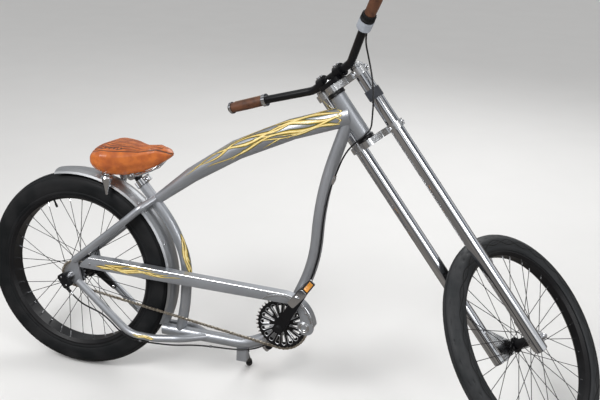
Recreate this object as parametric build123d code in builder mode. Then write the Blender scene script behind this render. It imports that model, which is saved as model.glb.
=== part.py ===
from build123d import *

import os
from math import atan2, cos, degrees, pi, radians, sin, sqrt, tan

# A long-forked pedal bicycle, parked: leaning on its side stand with the steering turned left onto its stop.
# Bike frame of reference: millimetres, +X forward, +Y to the rider's left, +Z up the frame, floor under the rear
# axle at (0, 0, 0) while the bicycle is upright. Finished pieces are moved to the parked pose when they are written.

# Parked pose
lean_angle = 7.2
steer_angle = 67.0

# Wheels: 24 x 3.0 behind, 26 x 2.35 in front
rear_radius, rear_tyre_width = 329.0, 76.0
front_radius, front_tyre_width = 341.0, 59.0
spoke_count, spoke_diameter = 36, 2.0

# Steering: head tube axis and, along it, the fork's own frame (x forward, y left, z up the axis, 0 at the tube's foot)
head_foot = Vector(916, 0, 874)
head_angle = 51.5
head_length, head_diameter, head_bore = 140.0, 46.0, 37.0
steerer_diameter = 28.6
cup_height, cup_diameter = 12.0, 52.0
leg_forward, leg_half_spacing, leg_diameter = 48.0, 76.0, 40.0
leg_foot, leg_head = -796.0, 178.0
front_axle_forward, front_axle_drop = 107.0, -781.35
crown_thickness = 20.0
gap = 0.6

# Frame tubes
main_tube = 38.0
seat_tube_diameter = 34.0
stay_diameter = 24.0
crank_centre = Vector(717, 0, 278)
shell_width, shell_diameter = 73.0, 44.0
dropout_offset, dropout_thickness = 67.0, 6.0

# Drive: half-inch chain
pitch = 12.7
chain_offset = -50.0
ring_teeth, sprocket_teeth = 40, 20
crank_length, crank_turn = 165.0, 61.0
pedal_length, pedal_width, pedal_thickness = 95.0, 62.0, 24.0

# Seat, bars and stand
post_diameter = 25.4
bar_diameter, grip_diameter = 24.0, 33.0
stand_diameter = 16.0

u = Vector(-cos(radians(head_angle)), 0, sin(radians(head_angle)))
fork_forward = Vector(sin(radians(head_angle)), 0, cos(radians(head_angle)))
head_plane = Plane(origin=head_foot, x_dir=fork_forward, z_dir=u)
lean = Location((0, 0, 0), (-lean_angle, 0, 0))
on_frame = Location((0, 0, 0))
on_fork = head_plane.location * Location((0, 0, 0), (0, 0, steer_angle))
rear_wheel = Location((0, 0, rear_radius))
front_wheel = on_fork * Location((front_axle_forward, 0, front_axle_drop))
on_crank = Location(crank_centre)

finished = []


def keep(body, name, place):
    """Move a finished piece to where it stands on the bicycle and list it."""
    body.part.move(place)
    body.part.label = name
    finished.append((body, name))


def side(y):
    """The plane at a distance to the left, seen so that x is forward and y is up."""
    return Plane(origin=(0, y, 0), x_dir=(1, 0, 0), z_dir=(0, -1, 0))


def bent_rod(points, radii, diameter):
    """A round bar along straight runs joined by tangent arcs, added to the part being built."""
    with BuildLine() as path:
        FilletPolyline(*points, radius=radii)
    with BuildSketch(path.line ^ 0) as profile:
        Circle(diameter / 2)
    sweep(sections=profile.sketch, path=path.line)


# Head tube and its bearing cups
with BuildPart() as head_tube:
    with BuildSketch(head_plane):
        Circle(head_diameter / 2)
        Circle(head_bore / 2, mode=Mode.SUBTRACT)
    extrude(amount=head_length)

with BuildPart() as headset_cups:
    for foot in (-cup_height, head_length):
        with BuildSketch(head_plane.offset(foot)):
            Circle(cup_diameter / 2)
            Circle(steerer_diameter / 2 + 0.4, mode=Mode.SUBTRACT)
        extrude(amount=cup_height)

# Seat tube: bowed, from the seat collar through the end of the top tube and down onto the bottom tube
seat_path = ((222, 0, 641), (318, 0, 535), (378, 0, 410), (374, 0, 270), (361, 0, 178))
post_bore_length = 70
post_plane = Plane(origin=seat_path[0], z_dir=Vector(*seat_path[0]) - Vector(*seat_path[1]))
with BuildPart() as seat_tube:
    bent_rod(seat_path, (400, 250, 500), seat_tube_diameter)
    with BuildSketch(post_plane):
        Circle(post_diameter / 2)
    extrude(amount=-post_bore_length, mode=Mode.SUBTRACT)

# Top tube: fat at the head, slim at the seat. Columns: x, z, diameter, slope in degrees
top_tube_sections = ((872, 931, 60, 17), (700, 872, 62, 22), (530, 791, 60, 31), (385, 695, 48, 38), (258, 593, 31, 44))
with BuildPart() as top_tube:
    for x, z, diameter, slope in top_tube_sections:
        backward = Vector(-cos(radians(slope)), 0, -sin(radians(slope)))
        with BuildSketch(Plane(origin=(x, 0, z), x_dir=(0, 1, 0), z_dir=backward)):
            Circle(diameter / 2)
    loft(ruled=True)
    with BuildSketch(head_plane.offset(-30)):
        Circle(head_diameter / 2)
    extrude(amount=head_length + 60, mode=Mode.SUBTRACT)
    with BuildSketch(post_plane):
        Circle(seat_tube_diameter / 2)
    extrude(amount=-post_bore_length - 30, mode=Mode.SUBTRACT)

# Down tube: one long bend from the head into the bottom bracket shell
shell_plane = side(-shell_width / 2)
down_path = ((871, 0, 931), (800, 0, 690), (795, 0, 470), (717, 0, 278))
with BuildPart() as down_tube:
    bent_rod(down_path, (900, 450), main_tube)
    add(top_tube.part, mode=Mode.SUBTRACT)
    with BuildSketch(head_plane.offset(-30)):
        Circle(head_diameter / 2)
    extrude(amount=head_length + 60, mode=Mode.SUBTRACT)
    with BuildSketch(shell_plane):
        with Locations((crank_centre.X, crank_centre.Z)):
            Circle(shell_diameter / 2)
    extrude(amount=-shell_width, mode=Mode.SUBTRACT)

# Bottom tube: from the shell down and back to its rear end
bottom_path = ((717, 0, 278), (628, 0, 168), (300, 0, 169))
with BuildPart() as bottom_tube:
    bent_rod(bottom_path, 150, main_tube)
    with BuildSketch(shell_plane):
        with Locations((crank_centre.X, crank_centre.Z)):
            Circle(shell_diameter / 2)
    extrude(amount=-shell_width, mode=Mode.SUBTRACT)
    add(down_tube.part, mode=Mode.SUBTRACT)
    add(seat_tube.part, mode=Mode.SUBTRACT)

spindle_diameter = 20.0
with BuildPart() as bottom_bracket_shell:
    with BuildSketch(shell_plane):
        with Locations((crank_centre.X, crank_centre.Z)):
            Circle(shell_diameter / 2)
            Circle(spindle_diameter / 2 + 0.5, mode=Mode.SUBTRACT)
    extrude(amount=-shell_width)

# Rear ends: a plate each side with a slot for the axle, open to the rear
with BuildPart() as rear_dropouts:
    for near in (-dropout_offset - dropout_thickness / 2, dropout_offset - dropout_thickness / 2):
        with BuildSketch(side(near)):
            with Locations((0, rear_radius)):
                Circle(22)
            with Locations((14, rear_radius + 48)):
                Circle(10)
            with Locations((32, rear_radius - 25)):
                Circle(10)
            make_hull()
            with Locations((-12, rear_radius)):
                Rectangle(36, 10.4, mode=Mode.SUBTRACT)
        extrude(amount=-dropout_thickness)

# Stays, right and left: bowed out round the wide tyre
seat_stay_path = ((266, 12, 606), (236, 55, 580), (196, 64, 542), (12, 67, 381))
chainstay_path = ((452, 8, 170), (385, 54, 168), (300, 67, 160), (211, 67, 160), (24, 67, 312))
stays = {}
for name, hand in (("right", -1), ("left", 1)):
    with BuildPart() as seat_stay:
        bent_rod([(x, hand * y, z) for x, y, z in seat_stay_path], (30, 90), stay_diameter)
        add(rear_dropouts.part, mode=Mode.SUBTRACT)
        add(top_tube.part, mode=Mode.SUBTRACT)
        with BuildSketch(post_plane):
            Circle(seat_tube_diameter / 2)
        extrude(amount=-post_bore_length - 30, mode=Mode.SUBTRACT)
    with BuildPart() as chainstay:
        bent_rod([(x, hand * y, z) for x, y, z in chainstay_path], (90, 90, 100), stay_diameter)
        add(bottom_tube.part, mode=Mode.SUBTRACT)
        add(rear_dropouts.part, mode=Mode.SUBTRACT)
    stays[name] = (seat_stay, chainstay)


# Fender: a crowned strip round the top front of the rear wheel, bolted to the seat tube
# Columns of its section: drop below the crown, distance out from the middle
fender_outer, fender_thickness = 345.0, 1.6
fender_section = ((15, 42), (9, 37), (2.6, 22), (0, 8))
fender_start, fender_end = -23.0, 103.0
start_plane = Plane(origin=(0, 0, rear_radius), x_dir=(cos(radians(fender_start)), 0, sin(radians(fender_start))),
                    z_dir=(sin(radians(fender_start)), 0, -cos(radians(fender_start))))
with BuildPart() as rear_fender:
    with BuildSketch(start_plane):
        outside = [(fender_outer - drop, -out) for drop, out in fender_section]
        inside = [(r - fender_thickness, y + fender_thickness) for r, y in outside]
        outside += [(r, -y) for r, y in reversed(outside)]
        inside += [(r, -y) for r, y in reversed(inside)]
        with BuildLine():
            Polyline(*outside, *reversed(inside), outside[0])
        make_face()
    revolve(axis=Axis((0, 0, rear_radius), (0, -1, 0)), revolution_arc=fender_end - fender_start)

# Wheels, each in its own frame: axle along Y, centre at the origin
# Columns: name, outer radius, tyre width, rim width, bead radius, hub half width, flange radius, barrel radius
wheels = (("rear", rear_radius, rear_tyre_width, 66, 258, 32, 38, 31, on_frame * rear_wheel),
          ("front", front_radius, front_tyre_width, 42, 284, 34, 24, 15, front_wheel))
rim_depth = 14
# Tyre section, from the bead to the middle of the tread. Columns: share of its height, share of its half width
tyre_section = ((0, 0.82), (0.3, 0.98), (0.62, 0.96), (0.88, 0.66), (1, 0.2))
for name, radius, width, rim_width, bead, flange_offset, flange_radius, barrel, place in wheels:
    with BuildPart() as tyre:
        with BuildSketch(Plane.XY):
            right = [(bead + rise * (radius - bead), out * width / 2) for rise, out in tyre_section]
            left = [(r, -y) for r, y in reversed(right)]
            with BuildLine():
                Polyline(*right, *left, right[0])
            make_face()
        revolve(axis=Axis.Y)
    with BuildPart() as rim:
        with BuildSketch(Plane.XY):
            with BuildLine():
                half = rim_width / 2
                Polyline((bead, -half), (bead, half), (bead - 5, half), (bead - rim_depth, half - 9),
                         (bead - rim_depth, 9 - half), (bead - 5, -half), (bead, -half))
            make_face()
        revolve(axis=Axis.Y)
    hub_length = 50 if name == "rear" else 49
    with BuildPart() as hub:
        with BuildSketch(Plane.XY):
            with BuildLine():
                Polyline((5.5, -hub_length), (9, -hub_length), (9, -flange_offset - 3), (flange_radius, -flange_offset - 3),
                         (flange_radius, -flange_offset), (barrel, -flange_offset), (barrel, flange_offset),
                         (flange_radius, flange_offset), (flange_radius, flange_offset + 3), (9, flange_offset + 3),
                         (9, hub_length), (5.5, hub_length), (5.5, -hub_length))
            make_face()
        revolve(axis=Axis.Y)
    with BuildPart() as spokes:
        for index in range(spoke_count):
            hand = 1 if index % 2 else -1
            lead = 1 if index % 4 < 2 else -1
            rim_turn = 2 * pi * index / spoke_count
            hub_turn = rim_turn + lead * 6 * pi / spoke_count * 2
            foot = Vector((flange_radius - 4) * cos(hub_turn), hand * (flange_offset + (4.2 if lead > 0 else -0.95)),
                          (flange_radius - 4) * sin(hub_turn))
            tip = Vector((bead - rim_depth) * cos(rim_turn), hand * 4, (bead - rim_depth) * sin(rim_turn))
            with BuildSketch(Plane(origin=foot, z_dir=tip - foot)):
                RegularPolygon(spoke_diameter / 2 + 0.1, 6)
            extrude(amount=(tip - foot).length - 0.3)
        add(hub.part, mode=Mode.SUBTRACT)
    keep(tyre, name + "_tyre", place)
    keep(rim, name + "_rim", place)
    keep(spokes, name + "_spokes", place)
    keep(hub, name + "_hub", place)

# Sprockets: teeth by loop. Columns: name, teeth, disc radius, place
def toothed_plate(teeth, thickness, bore):
    """A sprocket plate in the XZ plane, centred on its own axle, with one tooth for each half inch of chain."""
    root, tip = pitch / (2 * sin(pi / teeth)) - 4.1, pitch / (2 * sin(pi / teeth)) + 3.6
    with BuildSketch(side(thickness / 2)) as plate:
        Circle(root + 0.4)
        with PolarLocations(root, teeth):
            Polygon((0, -3.9), (tip - root, -0.9), (tip - root, 0.9), (0, 3.9), align=None)
        Circle(bore, mode=Mode.SUBTRACT)
    extrude(to_extrude=plate.sketch, amount=thickness)


tooth_thickness = 2.2
with BuildPart() as rear_sprocket:
    toothed_plate(sprocket_teeth, tooth_thickness, 19.2)
    with BuildSketch(side(-1.1)):
        Circle(26)
        Circle(19.2, mode=Mode.SUBTRACT)
    extrude(amount=-8)
keep(rear_sprocket, "rear_sprocket", on_frame * rear_wheel * Location((0, chain_offset, 0)))

# Chainring: a thick disc with long and short teardrop windows in turn, carrying the toothed ring
# Columns: start angle, inner radius, outer radius, outer end radius, inner end radius
ring_disc_radius, ring_disc_thickness = 74.0, 6.0
windows = ((0, 27, 66, 5.2, 1.6), (20, 42, 66, 5.2, 2.6))
with BuildPart() as chainring:
    toothed_plate(ring_teeth, tooth_thickness, 60)
    with BuildSketch(side(1.1)) as disc:
        Circle(ring_disc_radius)
        for start, inner, outer, outer_end, inner_end in windows:
            with PolarLocations(0, 9, start_angle=start):
                with BuildSketch(mode=Mode.PRIVATE) as window:
                    with Locations((inner, 0)):
                        Circle(inner_end)
                    with Locations((outer - outer_end, 0)):
                        Circle(outer_end)
                    make_hull()
                add(window.sketch, mode=Mode.SUBTRACT)
        Circle(14, mode=Mode.SUBTRACT)
    extrude(amount=ring_disc_thickness)
keep(chainring, "chainring", on_crank * Location((0, chain_offset, 0)))

# Chain: two side plates all the way round, joined by rollers on the two straight runs
rear_pitch_radius = pitch / (2 * sin(pi / sprocket_teeth))
ring_pitch_radius = pitch / (2 * sin(pi / ring_teeth))
plate_half_height, plate_thickness, inner_width = 3.7, 1.3, 5.0
centres = ((0, rear_radius, rear_pitch_radius), (crank_centre.X, crank_centre.Z, ring_pitch_radius))
reach = sqrt(crank_centre.X ** 2 + (crank_centre.Z - rear_radius) ** 2)
fall = atan2(crank_centre.Z - rear_radius, crank_centre.X)
spread = (ring_pitch_radius - rear_pitch_radius) / reach
with BuildPart() as chain:
    for near in (chain_offset - inner_width / 2 - plate_thickness, chain_offset + inner_width / 2):
        with BuildSketch(side(near)) as band:
            for grow, mode in ((plate_half_height, Mode.ADD), (-plate_half_height, Mode.SUBTRACT)):
                with BuildSketch(mode=Mode.PRIVATE) as belt:
                    for x, z, radius in centres:
                        with Locations((x, z)):
                            Circle(radius + grow)
                    make_hull()
                add(belt.sketch, mode=mode)
        extrude(amount=-plate_thickness)
    with BuildSketch(side(chain_offset - inner_width / 2)):
        for hand in (1, -1):
            normal = fall + hand * (pi / 2 + spread)
            start = (rear_pitch_radius * cos(normal), rear_radius + rear_pitch_radius * sin(normal))
            end = (crank_centre.X + ring_pitch_radius * cos(normal), crank_centre.Z + ring_pitch_radius * sin(normal))
            links = int((reach - 90) / pitch / 2)
            for link in range(links):
                share = 0.07 + 0.86 * link / (links - 1)
                with Locations((start[0] + share * (end[0] - start[0]), start[1] + share * (end[1] - start[1]))):
                    RegularPolygon(3.6, 6)
    extrude(amount=-inner_width)
keep(chain, "chain", on_frame)

# Cranks: spindle and two arms, the right one up and forward
arm_thickness, arm_near = 12.0, 80.0
crank_direction = (cos(radians(crank_turn)), sin(radians(crank_turn)))
with BuildPart() as crankset:
    with BuildSketch(side(-arm_near - 8)):
        Circle(spindle_diameter / 2)
    extrude(amount=-2 * arm_near - 16)
    with BuildSketch(side(-arm_near)):
        Circle(13.8)
    extrude(amount=-(arm_near + chain_offset - 1.1 - ring_disc_thickness + 12))
    for hand in (-1, 1):
        tip = (-hand * crank_length * crank_direction[0], -hand * crank_length * crank_direction[1])
        with BuildSketch(side(hand * (arm_near + arm_thickness / 2) - arm_thickness / 2)):
            with Locations((0, 0)):
                Circle(17)
            with Locations(tip):
                Circle(12.5)
            make_hull()
        extrude(amount=-arm_thickness)
        with BuildSketch(side(hand * (arm_near + 21) - 21)):
            with Locations(tip):
                Circle(6)
        extrude(amount=-42)
keep(crankset, "crankset", on_crank)

# Pedals, each in its own frame: axle along Y, centre at the origin
pedal_near = arm_near + arm_thickness + 4
for hand, name in ((-1, "right"), (1, "left")):
    with BuildPart() as pedal:
        with BuildSketch(side(hand * (pedal_near + pedal_length / 2) - pedal_length / 2)):
            RectangleRounded(pedal_width, pedal_thickness, 5)
            with Locations((17, 0), (-17, 0)):
                RectangleRounded(18, pedal_thickness - 8, 3, mode=Mode.SUBTRACT)
            Circle(6.5, mode=Mode.SUBTRACT)
        extrude(amount=-pedal_length)
    tip = Vector(-hand * crank_length * crank_direction[0], 0, -hand * crank_length * crank_direction[1])
    keep(pedal, name + "_pedal", on_crank * Location(tip) * Location((0, 0, 0), (0, 60, 0)))

# Chain guard: a face outside the chain, with a flange over it and a hook round the front of the chainring
guard_face, guard_depth, guard_wall = -77.0, 33.0, 1.6
hook_outer, hook_inner, hook_end = 108.0, 46.0, -20.0
guard_top = ((40, 378), (66, 400), (150, 400), (717, 278 + hook_outer))
with BuildPart() as chain_guard:
    with BuildSketch(side(guard_face)) as face:
        with Locations((crank_centre.X, crank_centre.Z)):
            Circle(hook_outer)
            Circle(hook_inner, mode=Mode.SUBTRACT)
        with BuildLine():
            Polyline((717, 278), (717, 500), (900, 500), (900, 278 + 183 * tan(radians(hook_end))), (717, 278))
        make_face(mode=Mode.INTERSECT)
        with Locations((crank_centre.X + (hook_outer + hook_inner) / 2 * cos(radians(hook_end)),
                        crank_centre.Z + (hook_outer + hook_inner) / 2 * sin(radians(hook_end)))):
            Circle((hook_outer - hook_inner) / 2)
        with BuildLine():
            Polyline(*guard_top, (717, 346), (60, 363), (34, 364), (40, 378))
        make_face()
    extrude(amount=-guard_wall)
    with BuildSketch(side(guard_face)):
        with BuildLine():
            Polyline(*guard_top, (717, 278 + hook_outer - guard_wall), (150, 400 - guard_wall), (67, 400 - guard_wall),
                     (42, 378 - guard_wall), (40, 378))
        make_face()
        with BuildSketch(mode=Mode.PRIVATE) as hook:
            with Locations((crank_centre.X, crank_centre.Z)):
                Circle(hook_outer)
                Circle(hook_outer - guard_wall, mode=Mode.SUBTRACT)
            with BuildLine():
                Polyline((717, 278), (717, 500), (900, 500), (900, 278 + 183 * tan(radians(hook_end - 12))), (717, 278))
            make_face(mode=Mode.INTERSECT)
        add(hook.sketch)
    extrude(amount=-guard_depth)
keep(chain_guard, "chain_guard", on_frame)

# Rear axle with its nuts, the click box on its right end and the brake arm on its left
with BuildPart() as rear_axle:
    for start, length, radius in ((-96, 186, 5), (-84, 12, 9.5), (72, 12, 9.5)):
        with BuildSketch(side(start)):
            with Locations((0, rear_radius)):
                if radius == 5:
                    Circle(radius)
                else:
                    RegularPolygon(radius, 6)
        extrude(amount=-length)
    add(rear_dropouts.part, mode=Mode.SUBTRACT)
with BuildPart() as click_box:
    with BuildSketch(side(-104)):
        with Locations(Location((-6, 318), 35)):
            RectangleRounded(28, 50, 9)
    extrude(amount=-19.5)
    with BuildSketch(Plane(origin=(-6, -94, 298), z_dir=(16, 2, -17))):
        Circle(5)
    extrude(amount=26)
    with BuildSketch(side(-104)):
        with Locations((0, rear_radius)):
            Circle(5)
    extrude(amount=-19.5, mode=Mode.SUBTRACT)
with BuildPart() as brake_arm:
    with BuildSketch(side(50.6)):
        with Locations((0, rear_radius)):
            Circle(17)
        with Locations((88, 262)):
            Circle(9)
        make_hull()
        with Locations((0, rear_radius)):
            Circle(5.1, mode=Mode.SUBTRACT)
    extrude(amount=-3.8)
for body, name in ((rear_axle, "rear_axle"), (click_box, "click_box"), (brake_arm, "brake_arm")):
    keep(body, name, on_frame)

# Seat post with its collar, and the saddle on its rails and springs
post_top = Vector(*seat_path[0]) + post_plane.z_dir * 42
with BuildPart() as seat_post:
    with BuildSketch(post_plane.offset(-post_bore_length)):
        Circle(post_diameter / 2)
    extrude(amount=post_bore_length + 42)
with BuildPart() as seat_collar:
    with BuildSketch(post_plane.offset(1)):
        Circle(21)
        with Locations((24, 0)):
            Rectangle(20, 22)
        Circle(post_diameter / 2, mode=Mode.SUBTRACT)
        with Locations((24, 0)):
            Rectangle(30, 3, mode=Mode.SUBTRACT)
    extrude(amount=20)
clamp_centre = post_top + Vector(0, 0, 2)
rail_path = ((300, 8, 738), (262, 22, 700), (212, 24, 676), (150, 24, 676), (84, 60, 700))
with BuildPart() as saddle_frame:
    for hand in (-1, 1):
        bent_rod([(x, hand * y, z) for x, y, z in rail_path], (20, 40, 40), 7)
        with Locations((122, hand * 55, 612)):
            Cone(4, 18, 56, align=(Align.CENTER, Align.CENTER, Align.MIN))
        with Locations((122, hand * 55, 668)):
            Cylinder(12, 30, align=(Align.CENTER, Align.CENTER, Align.MIN))
    with BuildSketch(side(-34)):
        with Locations((clamp_centre.X - 2, 676)):
            Circle(15)
    extrude(amount=-68)
    add(seat_post.part, mode=Mode.SUBTRACT)
# Saddle: wide behind, narrow at the nose. Columns: x, half width, underside, edge of the top, crown
saddle_sections = ((48, 60, 706, 722, 738), (78, 100, 691, 738, 766), (125, 113, 684, 744, 782), (175, 92, 686, 742, 782),
                   (225, 54, 694, 744, 771), (275, 34, 714, 756, 777), (306, 26, 736, 754, 769), (320, 12, 748, 752, 757))
with BuildPart() as saddle:
    for x, half, under, edge, crown in saddle_sections:
        with BuildSketch(Plane(origin=(x, 0, 0), x_dir=(0, 1, 0), z_dir=(1, 0, 0))):
            with BuildLine():
                top = ThreePointArc((-half, edge), (0, crown), (half, edge))
                Polyline(top @ 1, (half - 6, under), (6 - half, under), top @ 0)
            make_face()
    loft(ruled=True)
saddle_frame.part = saddle_frame.part - saddle.part
for body, name in ((seat_post, "seat_post"), (seat_collar, "seat_collar"), (saddle_frame, "saddle_frame"), (saddle, "saddle")):
    keep(body, name, on_frame)

for body, name in ((head_tube, "head_tube"), (headset_cups, "headset_cups"), (seat_tube, "seat_tube"), (top_tube, "top_tube"),
                   (down_tube, "down_tube"), (bottom_tube, "bottom_tube"), (bottom_bracket_shell, "bottom_bracket_shell"),
                   (rear_dropouts, "rear_dropouts"), (rear_fender, "rear_fender")):
    keep(body, name, on_frame)
for name, (seat_stay, chainstay) in stays.items():
    keep(seat_stay, name + "_seat_stay", on_frame)
    keep(chainstay, name + "_chainstay", on_frame)

# Fork, in its own frame: crowns clamp the legs above and below the head tube
lower_crown_foot = -cup_height - gap - crown_thickness
upper_crown_foot = head_length + cup_height + gap
leg_places = ((leg_forward, -leg_half_spacing), (leg_forward, leg_half_spacing))
with BuildPart() as steerer:
    with BuildSketch(Plane.XY.offset(lower_crown_foot)):
        Circle(steerer_diameter / 2)
    extrude(amount=upper_crown_foot + crown_thickness - lower_crown_foot)
fork_legs = {}
for name, hand in (("right", -1), ("left", 1)):
    with BuildPart() as leg:
        with BuildSketch(Plane.XY.offset(leg_foot)):
            with Locations((leg_forward, hand * leg_half_spacing)):
                Circle(leg_diameter / 2)
        extrude(amount=leg_head - leg_foot)
        chamfer(leg.edges().filter_by(GeomType.CIRCLE), 2)
    fork_legs[name] = leg
with BuildPart() as fork_dropouts:
    for near in (-59, 52):
        with BuildSketch(side(near)):
            with Locations((front_axle_forward, front_axle_drop)):
                Circle(17)
            with Locations((leg_forward, -690)):
                Circle(6)
            with Locations((leg_forward + 4, -790)):
                Circle(8)
            make_hull()
            with Locations((front_axle_forward, front_axle_drop)):
                Circle(4.6, mode=Mode.SUBTRACT)
        extrude(amount=-7)
    for leg in fork_legs.values():
        add(leg.part, mode=Mode.SUBTRACT)
crowns = {}
for name, foot in (("lower", lower_crown_foot), ("upper", upper_crown_foot)):
    with BuildPart() as crown:
        with BuildSketch(Plane.XY.offset(foot)):
            with Locations((leg_forward, 0)):
                Rectangle(34, 2 * leg_half_spacing)
            with Locations(*leg_places):
                Circle(leg_diameter / 2 + 7)
            with BuildSketch(mode=Mode.PRIVATE) as lug:
                Circle(23)
                with Locations((leg_forward - 4, 26), (leg_forward - 4, -26)):
                    Circle(13)
                make_hull()
            add(lug.sketch)
            with Locations(*leg_places):
                Circle(leg_diameter / 2, mode=Mode.SUBTRACT)
            Circle(steerer_diameter / 2, mode=Mode.SUBTRACT)
        extrude(amount=crown_thickness)
    crowns[name] = crown
with BuildPart() as leg_sleeves:
    with BuildSketch(Plane.XY.offset(72)):
        with Locations(*leg_places):
            Circle(leg_diameter / 2 + 3)
        with Locations(*leg_places):
            Circle(leg_diameter / 2, mode=Mode.SUBTRACT)
    extrude(amount=30)
with BuildPart() as front_axle:
    for start, length, radius in ((-77, 154, 4.5), (-69, 9.9, 9), (59.1, 9.9, 9)):
        with BuildSketch(side(start)):
            with Locations((front_axle_forward, front_axle_drop)):
                if radius == 4.5:
                    Circle(radius)
                else:
                    RegularPolygon(radius, 6)
        extrude(amount=-length)

# Handlebar: half of its path, mirrored, in the fork's frame; grips follow its ends
bar_half = ((22, 0, 194), (22, 84, 194), (-14, 222, 252), (-42, 352, 300))
bar_left, bar_right = bar_half[1:], [(x, -y, z) for x, y, z in bar_half[1:]]
with BuildPart() as handlebar:
    bent_rod([*bar_right[::-1], *bar_left], (90, 50, 50, 90), bar_diameter)
with BuildPart() as stem_clamp:
    with BuildSketch(Plane.XY.offset(upper_crown_foot + crown_thickness)):
        with Locations((12, 0)):
            RectangleRounded(52, 76, 10)
    extrude(amount=14)
    for near in (-50, 24):
        with BuildSketch(side(near)):
            with Locations(bar_half[0][::2]):
                Circle(20)
        extrude(amount=-26)
    with BuildSketch(side(-50)):
        with Locations(bar_half[0][::2]):
            Circle(bar_diameter / 2)
    extrude(amount=-100, mode=Mode.SUBTRACT)
grip_slope = (Vector(*bar_half[3]) - Vector(*bar_half[2])).normalized()
grips = {}
bar_ends = {}
for name, hand in (("right", -1), ("left", 1)):
    corner = Vector(bar_half[2][0], hand * bar_half[2][1], bar_half[2][2])
    bar_ends[hand] = Plane(origin=corner, z_dir=Vector(grip_slope.X, hand * grip_slope.Y, grip_slope.Z))
    with BuildPart() as grip:
        with BuildSketch(bar_ends[hand].offset(16)):
            Circle(grip_diameter / 2)
            Circle(bar_diameter / 2, mode=Mode.SUBTRACT)
        extrude(amount=112)
    grips[name] = grip
# Columns: hand, start along the grip, length, radius
rings = ((1, 4, 11.7, 19), (1, 128.3, 7, 18.5), (-1, 128.3, 7, 18.5))
with BuildPart() as grip_rings:
    for hand, start, length, radius in rings:
        with BuildSketch(bar_ends[hand].offset(start)):
            Circle(radius)
            Circle(bar_diameter / 2, mode=Mode.SUBTRACT)
        extrude(amount=length)
with BuildPart() as shifter:
    with BuildSketch(bar_ends[-1].offset(-14)):
        Circle(21)
    extrude(amount=29.7)
    horn_start = bar_ends[-1].origin + Vector(16, 4, -4)
    with BuildSketch(Plane(origin=horn_start, z_dir=(14, 26, -12))):
        Circle(6)
    extrude(amount=32)
    add(handlebar.part, mode=Mode.SUBTRACT)
for body, name in ((steerer, "steerer"), (fork_legs["right"], "right_fork_leg"), (fork_legs["left"], "left_fork_leg"),
                   (fork_dropouts, "fork_dropouts"), (crowns["lower"], "lower_crown"), (crowns["upper"], "upper_crown"),
                   (leg_sleeves, "leg_sleeves"), (front_axle, "front_axle"), (handlebar, "handlebar"),
                   (stem_clamp, "stem_clamp"), (grips["right"], "right_grip"), (grips["left"], "left_grip"),
                   (grip_rings, "grip_rings"), (shifter, "shifter")):
    keep(body, name, on_fork)

# Side stand: a bracket under the bottom tube and a leg that swings back and up on a slanted bolt
stand_foot_radius, stand_foot_reach, tyre_sink = 11.0, 11.8, -0.95
stand_pivot = Vector(575, 27, 134)
foot_y = 146.0
foot_z = (stand_foot_reach + tyre_sink + foot_y * sin(radians(lean_angle))) / cos(radians(lean_angle))
stand_foot_centre = Vector(550, foot_y, foot_z)
stand_down = (stand_foot_centre - stand_pivot).normalized()
stand_axis = Vector(-0.30, 0.66, 0.69).normalized()
with BuildPart() as stand_bracket:
    with BuildSketch(Plane(origin=(575, -1, 108))):
        RectangleRounded(34, 20, 4)
    extrude(amount=46)
    with BuildSketch(Plane(origin=stand_pivot - stand_axis * 31.4, z_dir=stand_axis)):
        Circle(11)
    extrude(amount=22)
    add(bottom_tube.part, mode=Mode.SUBTRACT)
with BuildPart() as stand_leg:
    with BuildSketch(Plane(origin=stand_pivot - stand_axis * 9, z_dir=stand_axis)):
        Circle(13)
    extrude(amount=18)
    with BuildSketch(Plane(origin=stand_pivot, z_dir=stand_down)):
        Circle(stand_diameter / 2)
    extrude(amount=(stand_foot_centre - stand_pivot).length - 14)
with BuildPart() as stand_foot:
    with BuildSketch(Plane(origin=stand_foot_centre - stand_down * 26, z_dir=stand_down)):
        Circle(stand_foot_radius)
    extrude(amount=26 + stand_foot_radius)
    fillet(stand_foot.edges().filter_by(GeomType.CIRCLE).sort_by(Axis.Z)[0], 9)
    with BuildSketch(Plane(origin=stand_foot_centre - stand_down * 14, z_dir=-stand_down)):
        Circle(stand_diameter / 2)
    extrude(amount=20, mode=Mode.SUBTRACT)
for body, name in ((stand_bracket, "stand_bracket"), (stand_leg, "stand_leg"), (stand_foot, "stand_foot")):
    keep(body, name, on_frame)

# Parked pose: lean everything, then put the origin on the floor under the middle of the whole bicycle
for body, name in finished:
    body.part.move(lean)
low = Vector(*[min(getattr(body.part.bounding_box().min, axis) for body, name in finished) for axis in "XYZ"])
high = Vector(*[max(getattr(body.part.bounding_box().max, axis) for body, name in finished) for axis in "XYZ"])
print("lowest", {name: round(body.part.bounding_box().min.Z, 2) for body, name in finished if body.part.bounding_box().min.Z < 20})
origin_shift = Location((-(low.X + high.X) / 2, -(low.Y + high.Y) / 2, -low.Z))
print("size", high - low, "shift", origin_shift.position)

os.makedirs("parts", exist_ok=True)
for body, name in finished:
    body.part.move(origin_shift)
    body.part.label = name
    export_step(body.part, f"parts/{name}.step")
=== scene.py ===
import bmesh
import bpy
from math import asin, atan2, copysign, cos, exp, hypot, pi, radians, sin, sqrt
from mathutils import Matrix, Vector


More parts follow.
